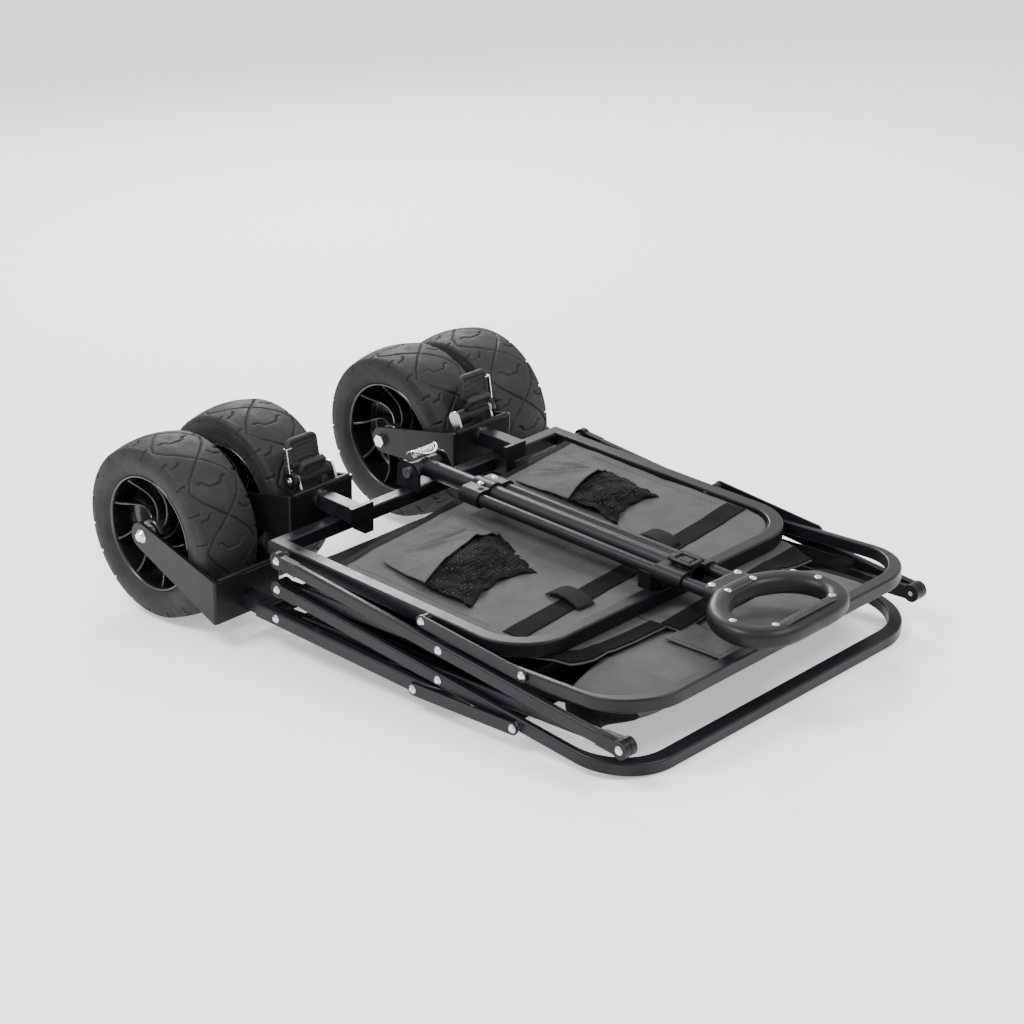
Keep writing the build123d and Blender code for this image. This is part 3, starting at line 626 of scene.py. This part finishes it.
for side, pocket in pockets.items():
    flap = clothPiece(f"pocket_flap_{side}", lambda u, v: flapPoint(pocket, u, v), 46, 80, 1.4, greyCloth,
                      "front_frame")
    net = clothPiece(f"pocket_net_{side}", lambda u, v: netPoint(pocket, u, v), 40, 70, 1.0, pocketNet,
                     "front_frame")
    binding = edgeTape(f"pocket_binding_{side}", lambda t: (netPoint(pocket, 1, t), (-1, 0, 0.1)), 7.0, 2.0)
    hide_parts("front_pockets")
print("panel and pockets ready")


def straightBand(start, end, wide):
    # The band's points from above, for u along it and v across, and its length.
    start, end = np.array(start, float), np.array(end, float)
    run, length = end - start, np.linalg.norm(end - start)
    across = np.array((-run[1], run[0])) / length
    return (lambda u, v: start + run * u + across * wide * (v - 0.5)), length


def layTape(name, start, end, wide, thick):
    # A hook tape laid flat across the panel.
    spotAt, length = straightBand(start, end, wide)

    def place(u, v):
        x, y = spotAt(u, v)
        return (x, y, panelHeight(x, y) + thick / 2 + 0.9 + 0.6 * crumple(x, y, 26, 2.4))

    rows = max(8, int(length / 4))
    piece = clothPiece(name, place, rows, 12, thick, fuzzTape, "front_frame")


def stitchLine(name, path, height, body, step=5.0, dash=3.2):
    # Short raised thread dashes along a line, a little above the cloth.
    points, faces = [], []
    for (x0, y0), (x1, y1) in zip(path, path[1:]):
        run = math.hypot(x1 - x0, y1 - y0)
        ax, ay = (x1 - x0) / run, (y1 - y0) / run
        count = int(run / step)
        for k in range(count):
            for t, lift in ((0, 0.0), (dash / 2, 0.6), (dash, 0.0)):
                x, y = x0 + ax * (k * step + t), y0 + ay * (k * step + t)
                z = height(x, y) + 1.35 + lift
                points += [(x - ay * 0.35, y + ax * 0.35, z), (x + ay * 0.35, y - ax * 0.35, z)]
            n = len(points) - 6
            faces += [(n, n + 1, n + 3, n + 2), (n + 2, n + 3, n + 5, n + 4)]
    return makePiece(name, points, faces, threadPaint, body)


# Tapes, loops and seams on the front panel.
tapes = {"inner": ((360, -214), (318, 224), 27.0), "thick": 1.6, "loopWide": 25.0}
layTape("hook_tape_inner", *tapes["inner"], tapes["thick"])


def loopPiece(name, start, end, wide, rise=7.0):
    # A short webbing loop that stands a little off the panel between its sewn ends.
    spotAt, length = straightBand(start, end, wide)

    def place(u, v):
        x, y = spotAt(u, v)
        hump = rise * math.sin(math.pi * u) ** 0.7
        return (x, y, panelHeight(x, y) + 3.2 + hump + 0.5 * crumple(x, y, 20, 6.6))

    piece = clothPiece(name, place, 22, 10, 1.8, webbing, "front_frame")


loopPiece("webbing_loop_near", (318, -102), (372, -107), tapes["loopWide"])
loopPiece("webbing_loop_far", (288, 88), (336, 84), tapes["loopWide"])
panelSeams = {"near": [(352, -70), (329, 4), (372, 14)], "side_near": [(112, -214), (330, -214)],
              "side_far": [(60, 214), (300, 214)]}
for title, path in panelSeams.items():
    stitchLine(f"panel_seam_{title}", path, panelHeight, "front_frame")
for side, pocket in pockets.items():
    a, b, _, d = pocket["flap"]
    stitchLine(f"pocket_seam_{side}", [b, a, d], lambda x, y: panelHeight(x, y) + 2.2, "front_frame")
print("tapes and loops ready")

# The roll, flaps and strap below the front rail's closed end.
rail = {"pivot": 35.0, "slope": math.tan(math.asin(36.5 / 526.8))}
rollSize = {"start": 426.0, "end": 553.0, "half": 222.0, "thick": 38.0, "columns": 96, "rows": 150,
            "drawBack": 1.7, "bendAt": 150.0, "bendWide": 72.0}


def railPlane(x):
    return (x - rail["pivot"]) * rail["slope"]


def rollTop(x, y):
    beyond = max(0.0, abs(y) - rollSize["bendAt"]) / rollSize["bendWide"]
    return railPlane(x) - 5.5 - 13.0 * beyond ** 0.8 * (1.4 - 0.4 * beyond)


def rollPoint(u, v):
    # A flattened roll whose underside draws back from the rail.
    turn = 2 * math.pi * v
    y = rollSize["half"] * (2 * u - 1)
    ease = max(0.02, 1 - (abs(2 * u - 1)) ** 26) ** 0.5
    halfX = (rollSize["end"] - rollSize["start"]) / 2
    pullIn = 14.0 * max(0.0, (abs(y) - rollSize["bendAt"]) / rollSize["bendWide"]) ** 2
    px = squarish(math.cos(turn), 0.42)
    pz = squarish(math.sin(turn), 0.75)
    x = (rollSize["start"] + rollSize["end"]) / 2 + px * (halfX - pullIn) * ease
    top = rollTop(x, y)
    under = (1 - pz) / 2 * rollSize["thick"]
    z = top - under * ease - (1 - ease) * rollSize["thick"] * 0.4 + 1.2 * crumple(x, y, 90, 9.1) - 1.5
    x -= max(0.0, under - 10.0) * rollSize["drawBack"] * max(0.0, px)
    return (x, y, min(z, top))


rollRows, rollColumns = rollSize["rows"], rollSize["columns"]
rollPoints = [rollPoint(i / (rollRows - 1), j / rollColumns)
              for i in range(rollRows) for j in range(rollColumns)]
rollFaces = gridFaces(rollRows, rollColumns, closed=True)
rollPiece = makePiece("rolled_top_cloth", rollPoints, rollFaces, greyCloth, "front_rail")
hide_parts("tub_roll")
# Rings of the roll's caps: share of the roll's outline, and how far out.
capRings = [(1.02, -14.0), (1.03, -2.0), (1.03, 4.0), (0.97, 9.0), (0.85, 12.5), (0.65, 15.0), (0.4, 16.5),
            (0.15, 17.0), (0.01, 17.0)]
for sign, sideName in sides:
    # A bound, rounded cap of black cloth closes each end of the roll.
    outlineAt = 0.03 if sign < 0 else 0.97
    rim = np.array([rollPoint(outlineAt, j / rollColumns) for j in range(rollColumns)])
    heart = rim.mean(axis=0)
    rings = []
    for share, out in capRings:
        for x, y, z in rim:
            x, z = heart[0] + (x - heart[0]) * share, heart[2] + (z - heart[2]) * share
            rings.append((x, y + sign * out, z))
    capFaces = gridFaces(len(capRings), rollColumns, closed=True)
    cap = makePiece(f"roll_end_{sideName}", rings, capFaces, darkCloth, "front_rail")


def flapLevel(x, y):
    share = min(1.0, max(0.0, (x - 405.0) / 35.0))
    share = share * share * (3 - 2 * share)
    free = 24.0 + 0.5 * crumple(x, y, 80, 4.4)
    resting = rollTop(x, y) + 3.2 + 0.6 * crumple(x, y, 60, 4.4)
    return free * (1 - share) + resting * share


# How wide each flap lies, from y to y, and where both start.
flaps = {"start": 345.0, "far": (-58.0, 214.0), "near": (-215.0, -60.0), "thick": 1.8}


def farEdge(y):
    return 468.0 - 0.093 * (y + 57)


def nearEdge(y):
    return float(np.interp(y, (-216, -205, -190, -165, -140, -105, -66), (384, 404, 424, 437, 444, 447, 448)))


def flapPiece(name, span, edge):
    def place(u, v):
        y = span[0] + (span[1] - span[0]) * v
        x = flaps["start"] + (edge(y) - flaps["start"]) * u
        return (x, y, flapLevel(x, y))
    piece = clothPiece(name, place, 50, 70, flaps["thick"], greyCloth, "front_rail")


def flapBand(name, span, edge, wide):
    def place(u, v):
        y = span[0] + (span[1] - span[0]) * u
        x = edge(y) - 1.5 - wide * (1 - v)
        return (x, y, flapLevel(x, y) + 2.2 + 0.3 * crumple(x, y, 30, 7.7))
    piece = clothPiece(name, place, 80, 12, 1.4, fuzzTape, "front_rail")


flapPiece("lower_flap_far", flaps["far"], farEdge)
flapPiece("lower_flap_near", flaps["near"], nearEdge)
flapBand("hook_tape_outer_far", flaps["far"], farEdge, 27.0)
flapBand("hook_tape_outer_near", flaps["near"], nearEdge, 21.0)


strapSize = {"start": 464.0, "long": 84.0, "near": -81.0, "wide": 50.0}


def strapPoint(u, v):
    x = strapSize["start"] + strapSize["long"] * u
    y = strapSize["near"] + strapSize["wide"] * v - 2.0 * u
    return (x, y, rollTop(x, y) + 2.6 + 0.7 * crumple(x, y, 30, 5.9))


strap = clothPiece("roll_strap", strapPoint, 26, 18, 1.6, greyCloth, "front_rail")
stitchLine("roll_strap_seam", [(470, -77), (540, -79), (540, -36), (470, -34)],
           lambda x, y: rollTop(x, y) + 2.6, "front_rail")
print("roll and flaps ready")

# The folded tub between the two end frames.
tub = {"startX": 60.0, "endX": 287.0, "half": 226.0, "low": -43.0, "high": 31.0, "pleats": 8, "deep": 8.0,
       "rows": 65}


def tubOutline():
    # A rounded rectangle, anticlockwise from above, with each point's way out.
    radius = 16.0
    lowX, highX, half = tub["startX"] + radius, tub["endX"] - radius, tub["half"] - radius
    corners = [(highX, half, 0), (lowX, half, 90), (lowX, -half, 180), (highX, -half, 270)]
    bends = []
    for cx, cy, turn in corners:
        for k in range(7):
            a = math.radians(turn + 90 * k / 6)
            bends.append((cx + radius * math.cos(a), cy + radius * math.sin(a), math.cos(a), math.sin(a)))
    filled = []
    for one, two in zip(bends, bends[1:] + bends[:1]):
        run = math.hypot(two[0] - one[0], two[1] - one[1])
        pieces = max(1, int(run / 8))
        for k in range(pieces):
            t = k / pieces
            filled.append(tuple(one[i] * (1 - t) + two[i] * t for i in range(4)))
    return filled


outline = tubOutline()
tubPoints = []
for row in range(tub["rows"]):
    share = row / (tub["rows"] - 1)
    phase = share * tub["pleats"]
    zigzag = abs(2 * (phase - math.floor(phase)) - 1)
    for x, y, nx, ny in outline:
        z = tub["low"] + (tub["high"] - tub["low"]) * share + 2.2 * crumple(x + y, share * 300, 60, 2.2)
        out = -tub["deep"] * zigzag + 2.0 * crumple(x, y + z * 3, 45, 7.3)
        tubPoints.append((x + nx * out, y + ny * out, min(tub["high"], max(tub["low"], z))))
tubFaces = gridFaces(tub["rows"], len(outline), closed=True)
tubPiece = makePiece("pleated_tub", tubPoints, tubFaces, darkCloth, None)
lowPoint, highPoint = layDown @ Vector((170, 0, tub["low"])), layDown @ Vector((170, 0, tub["high"]))
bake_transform(tubPiece)
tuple(lowPoint)
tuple(highPoint)
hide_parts("tub_folds")


def hemPoint(u, v):
    x = tub["startX"] + (tub["endX"] - tub["startX"]) * u
    y = (tub["half"] - 4) * (2 * v - 1)
    return (x, y, tub["high"] - 0.5 + 0.8 * crumple(x, y, 50, 3.3))


hem = clothPiece("tub_front_cloth", hemPoint, 40, 60, 1.2, darkCloth, "tub_front")
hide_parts("tub_hem")


skirtSize = {"start": 285.0, "long": 200.0, "out": 236.0, "drop": 16.0, "belly": 14.0}


def skirtPoint(sign, u, v):
    x = skirtSize["start"] + skirtSize["long"] * u
    drop = (skirtSize["drop"] + skirtSize["belly"] * math.sin(math.pi * u)) * v
    y = sign * (skirtSize["out"] - 5.0 * v + 3.0 * crumple(x, v * 60, 35, 4.0 + sign))
    return (x, y, railPlane(x) - 9.5 - drop * (1 - 0.25 * u))


for sign, sideName in sides:
    skirt = clothPiece(f"side_skirt_{sideName}", lambda u, v: skirtPoint(sign, u, v), 60, 14, 1.4, darkCloth,
                       "front_rail")

# The bag of cloth below the rear frame, kept above the floor's slope.
bag = {"start": 28.0, "end": 384.0, "half": 234.0, "top": -47.5, "deep": 23.0,
       "floorSlope": 0.0707, "floorStart": -85.75, "clear": 2.5}


def bagPoint(u, v, under):
    x = bag["start"] + (bag["end"] - bag["start"]) * u
    y = bag["half"] * (2 * v - 1)
    full = max(0.0, math.sin(math.pi * u)) ** 0.35 * max(0.0, math.sin(math.pi * v)) ** 0.3
    floorZ = bag["floorSlope"] * x + bag["floorStart"] + bag["clear"]
    if not under:
        return (x, y, bag["top"] - 3.0 * (1 - full) + 1.0 * crumple(x, y, 60, 6.1) * full)
    z = bag["top"] - 3.5 - full * (bag["deep"] * (1 - 0.32 * u) + 3.0 * crumple(x, y, 75, 8.8))
    return (x, y, max(floorZ, z))


bagRows, bagColumns = 60, 70
bagPoints, bagFaces = [], []
for under in (False, True):
    base = len(bagPoints)
    bagPoints += gridPoints(lambda u, v: bagPoint(u, v, under), bagRows, bagColumns)
    faces = gridFaces(bagRows, bagColumns)
    bagFaces += shifted([face[::-1] for face in faces] if under else faces, base)
bagRim = list(range(bagColumns))
bagRim += [i * bagColumns + bagColumns - 1 for i in range(1, bagRows)]
bagRim += [(bagRows - 1) * bagColumns + j for j in range(bagColumns - 2, -1, -1)]
bagRim += [i * bagColumns for i in range(bagRows - 2, 0, -1)]
underBase = bagRows * bagColumns
for one, two in zip(bagRim, bagRim[1:] + bagRim[:1]):
    bagFaces.append((one, two, two + underBase, one + underBase))
bagPiece = makePiece("rear_bag_cloth", bagPoints, bagFaces, darkCloth, "rear_frame")
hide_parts("rear_bag")
print("tub and bag ready")

# Loop grip with its screws and finger pad.
# The grip's line on one side of the middle, as (x, y), with its half width and half height.
grip = {"line": [(598, 0), (597.5, 38), (589, 62), (570, 75), (545, 74.5), (523, 62), (508, 42), (499, 18)],
        "height": 67.0, "wide": 13.6, "tall": 12.0}


def smoothLoop(points, count):
    # A closed Catmull-Rom curve through the points.
    made = []
    n = len(points)
    for k in range(count):
        t = k / count * n
        i = int(t)
        f = t - i
        p0, p1, p2, p3 = (np.array(points[(i + j) % n], float) for j in (-1, 0, 1, 2))
        square, cube = 2 * p0 - 5 * p1 + 4 * p2 - p3, 3 * p1 - p0 - 3 * p2 + p3
        made.append(0.5 * (2 * p1 + (p2 - p0) * f + square * f ** 2 + cube * f ** 3))
    return np.array(made)


half = grip["line"]
loop = half + [(x, -y) for x, y in reversed(half[1:])]
ringLine = smoothLoop(loop, 200)
ringPoints = []
around = 32
for k, spot in enumerate(ringLine):
    ahead = ringLine[(k + 1) % len(ringLine)] - ringLine[k - 1]
    ahead /= np.linalg.norm(ahead)
    outward = np.array((ahead[1], -ahead[0]))
    for j in range(around):
        turn = 2 * math.pi * j / around
        px = squarish(math.cos(turn), 0.8) * grip["wide"]
        pz = squarish(math.sin(turn), 0.8) * grip["tall"]
        inner, outer = math.exp(-(turn - math.pi) ** 2 * 300), math.exp(-(math.sin(turn / 2)) ** 2 * 1200)
        seam = 1.0 - 0.035 * inner - 0.035 * outer
        x, y = spot[0] + outward[0] * px * seam, spot[1] + outward[1] * px * seam
        ringPoints.append((x, y, grip["height"] + pz))
ringFaces = gridFaces(len(ringLine), around, closed=True)
last = (len(ringLine) - 1) * around
for j in range(around):
    k = (j + 1) % around
    ringFaces.append((last + j, last + k, k, j))
neck = {"start": 471.5, "long": 36.0, "wide": 33.5, "tall": 11.2}
neckBase = len(ringPoints)
neckRows, neckColumns = 24, 40
for i in range(neckRows):
    share = i / (neckRows - 1)
    x = neck["start"] + neck["long"] * share
    ease = min(1.0, 0.72 + 0.28 * min(1, share * 7))
    wide = (neck["wide"] + 5.0 * share * share) * ease
    tall = neck["tall"] * ease
    for j in range(neckColumns):
        turn = 2 * math.pi * j / neckColumns
        py = wide * squarish(math.cos(turn), 0.45)
        pz = tall * squarish(math.sin(turn), 0.5)
        ringPoints.append((x, py, grip["height"] + pz))
ringFaces += shifted(gridFaces(neckRows, neckColumns, closed=True), neckBase)
ringFaces.append(tuple(neckBase + j for j in range(neckColumns))[::-1])
gripPiece = makePiece("loop_grip", ringPoints, ringFaces, gripPlastic, "grip")
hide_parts("handle_grip")


fingerPad = {"half": 43.0, "inner": 585.5, "outer": 602.5, "rows": 220, "columns": 36}


def padPoint(u, v):
    y = fingerPad["half"] * (2 * u - 1)
    ease = max(0.0, 1 - abs(2 * u - 1) ** 8)
    inner = fingerPad["inner"] - 1.7 * math.cos(y / 17.0 * 2 * math.pi) - 2.2 * ease
    x = inner + (fingerPad["outer"] - inner) * v
    across = min(0.995, abs(x - 598) / grip["wide"])
    z = grip["height"] + grip["tall"] * (1 - across ** 2.5) ** 0.4 + 1.5 * ease
    dimple = 0.9 * max(0.0, math.sin(y * 1.55)) * max(0.0, math.sin(x * 1.55))
    return (x, y, z + dimple)


padSpots = gridPoints(padPoint, fingerPad["rows"], fingerPad["columns"])
padFaces = gridFaces(fingerPad["rows"], fingerPad["columns"])
makePiece("grip_finger_pad", padSpots, padFaces, padRubber, "grip")


def domeScrew(name, spots, size, body, tall=1.6):
    # Low domed screw heads with a cross cut, made as one piece.
    points, faces = [], []
    rings, around = 7, 20
    for x, y, z in spots:
        base = len(points)
        for i in range(rings):
            share = i / (rings - 1)
            radius = size * math.cos(share * math.pi / 2 * 0.97)
            for j in range(around):
                turn = 2 * math.pi * j / around
                cut = 0.5 if share > 0.55 and abs(math.sin(2 * turn)) < 0.35 else 0.0
                height = z + tall * math.sin(share * math.pi / 2) - cut
                points.append((x + radius * math.cos(turn), y + radius * math.sin(turn), height))
        faces += shifted(gridFaces(rings, around, closed=True), base)
        faces.append(tuple(base + (rings - 1) * around + j for j in range(around)))
    return makePiece(name, points, faces, boltZinc, body)


gripScrews = [(480, 22.6, 77.6), (502, 22, 78.0), (552, 75, 78.2), (590.5, 50, 78.2)]
domeScrew("grip_screws", [(x, sign * y, z) for x, y, z in gripScrews for sign in (-1, 1)], 4.6, "grip")
domeScrew("yoke_rivets", [(116, -12, 81.8), (116, 12, 81.8)], 4.2, "grip")
print("grip ready")

# Brake pads on the front forks: two soft-edged pads with a raised border on a turning barrel.
brake = {
    "x": -45.0, "z": 83.0, "barrel": 7.0, "near": 161.4, "far": 109.6, "strapSide": 172.5, "strapLean": 100.0,
    "pads": [
        {"middle": 146.0, "width": 48.0, "start": 14.0, "end": 50.0,
         "lean": 100.0, "thick": 7.0, "corner": 9.0},
        {"middle": 142.0, "width": 38.0, "start": 7.5, "end": 26.0,
         "lean": 64.0, "thick": 8.0, "corner": 5.0},
    ],
    # Turned profiles of the hub's cap and its screw, as (y, radius).
    "cap": [(165.0, 11.4), (170.4, 11.4), (171.4, 10.4), (171.4, 4.6), (170.2, 4.4), (170.2, 0.1)],
    "screw": [(170.0, 3.9), (171.2, 3.9), (172.2, 3.0), (172.6, 1.6), (171.6, 1.5), (171.6, 0.1)],
}


def leanWays(degrees):
    # The way along a leaning pad, and the way out of its face.
    lean = math.radians(degrees)
    return np.array((math.cos(lean), 0, math.sin(lean))), np.array((math.sin(lean), 0, -math.cos(lean)))


def padRing(pad, sign, inset, height, share=1.0):
    # A rounded rectangle on the pad, drawn in from its edge and raised off its middle.
    along, out = leanWays(pad["lean"])
    middle = (pad["start"] + pad["end"]) / 2
    halfWide, halfLong = pad["width"] / 2 - inset, (pad["end"] - pad["start"]) / 2 - inset
    corner = max(1.0, pad["corner"] - inset)
    ring = []
    for cornerWide, cornerLong, first in ((1, 1, 0), (-1, 1, 90), (-1, -1, 180), (1, -1, 270)):
        for k in range(9):
            turn = math.radians(first + 90 * k / 8)
            wide = cornerWide * (halfWide - corner) + corner * math.cos(turn)
            far = cornerLong * (halfLong - corner) + corner * math.sin(turn)
            spot = along * (middle + far * share) + out * height
            ring.append((brake["x"] + spot[0], sign * (pad["middle"] + wide * share), brake["z"] + spot[2]))
    return ring


def turnedPiece(name, profile, sign, count, material, body):
    points = []
    for y, radius in profile:
        points += ringAcross(brake["x"], brake["z"], radius, sign * y, count)
    return makePiece(name, points, gridFaces(len(profile), count, closed=True), material, body)


ringCount = 36
for sign, sideName in sides:
    body = f"brake_{sideName}"
    points, faces = [], []
    for pad in brake["pads"]:
        first = len(points)
        half = pad["thick"] / 2
        rings = [(5.2, half - 1.6, 0.01), (5.2, half - 1.6, 1), (4.2, half - 0.2, 1), (1.8, half, 1),
                 (0.4, half - 0.8, 1), (0, half - 2.2, 1), (0, 2.2 - half, 1), (0.4, 0.8 - half, 1),
                 (1.8, -half, 1), (5.0, -half, 0.01)]
        for inset, height, share in rings:
            points += padRing(pad, sign, inset, height, share)
        faces += shifted(gridFaces(len(rings), ringCount, closed=True), first)
    first = len(points)
    for y in (brake["far"], brake["near"]):
        points += ringAcross(brake["x"], brake["z"], brake["barrel"], sign * y, ringCount)
    faces += shifted(gridFaces(2, ringCount, closed=True), first)
    faces += shifted([tuple(range(ringCount)), tuple(range(ringCount, 2 * ringCount))], first)
    pads = makePiece(f"brake_pads_{sideName}", points, faces, padRubber, body)
    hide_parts(f"brake_pedal_{sideName}")
    ridges, roots = [], []
    for pad, count in zip(brake["pads"], (4, 2)):
        along, out = leanWays(pad["lean"])
        axle = np.array((brake["x"], 0, brake["z"]))
        for k in range(count):
            far = pad["start"] + 8.5 + (pad["end"] - pad["start"] - 17.0) * k / max(1, count - 1)
            spot = axle + along * far + out * (pad["thick"] / 2 - 1.5)
            halfSizes = (pad["width"] / 2 - 8.5, 1.1, 0.9)
            ridges.append(((spot[0], sign * pad["middle"], spot[2]), (0, 1, 0), along, halfSizes))
        for wide in (-0.3, 0.3):
            spot = axle + along * (pad["start"] + 1.0)
            roots.append(((spot[0], sign * (142 + 38 * wide), spot[2]), along, (0, 1, 0), (9.0, 3.0, 2.6)))
    blockPiece(f"brake_pad_ridges_{sideName}", ridges, padRubber, body, 0.5)
    blockPiece(f"brake_pad_roots_{sideName}", roots, padRubber, body, 0.8)
    along, out = leanWays(brake["strapLean"])
    heart = np.array((brake["x"], sign * brake["strapSide"], brake["z"]))
    hook = heart + along * 39 + out * 1.0 + np.array((0, -sign * 3.5, 0))
    strapBlocks = [
        (heart + along * 24 + out * 1.0, along, (0, 1, 0), (15.0, 0.9, 3.4)),
        (hook, (0, 1, 0), along, (4.4, 0.9, 3.4)),
    ]
    blockPiece(f"brake_strap_{sideName}", strapBlocks, boltZinc, body, 0.5)
    caster = f"caster_{sideName}"
    turnedPiece(f"brake_hub_cap_{sideName}", brake["cap"], sign, 36, fittingPlastic, caster)
    turnedPiece(f"brake_screw_{sideName}", brake["screw"], sign, 24, boltZinc, caster)
print("brake pads ready")

# The handle bracket's spring latch, and the window and button of the collar.
latch = {
    "wire": 1.5, "coil": 4.2, "turns": 8, "steps": 240, "x": 8.0, "z": 86.0,
    "bail": [(2, -22, 86.5), (3, -21.5, 89), (8, -19, 91.5), (14, -16, 91), (19, -11, 89.5), (21.5, -4, 88.4),
             (21.5, 4, 88.4), (19, 11, 89.5), (14, 16, 91), (8, 19, 91.5), (3, 21.5, 89), (2, 22, 86.5)],
}
coil = []
for k in range(latch["steps"] + 1):
    turn = 2 * math.pi * latch["turns"] * k / latch["steps"]
    coil.append((latch["x"] + latch["coil"] * math.cos(turn), -17 + 34 * k / latch["steps"],
                 latch["z"] + latch["coil"] * math.sin(turn)))
wirePiece("latch_wires", [coil, latch["bail"]], latch["wire"], boltZinc, "handle")
window = {"x": 424.0, "z": 81.8, "long": 14.0, "wide": 10.0, "wall": 2.6, "tall": 1.5}
long, wide, wall = window["long"], window["wide"], window["wall"]
frameSides = []
for way in (-1, 1):
    for dx, dy, halfX, halfY in ((way * long, 0, wall, wide + wall), (0, way * wide, long + wall, wall)):
        spot = (window["x"] + dx, dy, window["z"])
        frameSides.append((spot, (1, 0, 0), (0, 1, 0), (halfX, halfY, window["tall"])))
blockPiece("collar_window", frameSides, fittingPlastic, "handle", 0.9)
button = [((window["x"] + 2, 0, window["z"] - 0.4), (1, 0, 0), (0, 1, 0), (6.5, 5.5, 1.4))]
blockPiece("collar_button", button, gripPlastic, "handle", 0.8)

# Low walls at the inner and outer side of each handle rest.
rest = {"x": 392.0, "z": 62.5, "walls": (13.2, 31.8), "half": (9.0, 1.1, 4.6)}
walls = []
for sign, _ in sides:
    for y in rest["walls"]:
        walls.append(((rest["x"], sign * y, rest["z"]), (1, 0, 0), (0, 1, 0), rest["half"]))
blockPiece("rest_walls", walls, fittingPlastic, "front_frame", 0.5)
print("latch and collar ready")
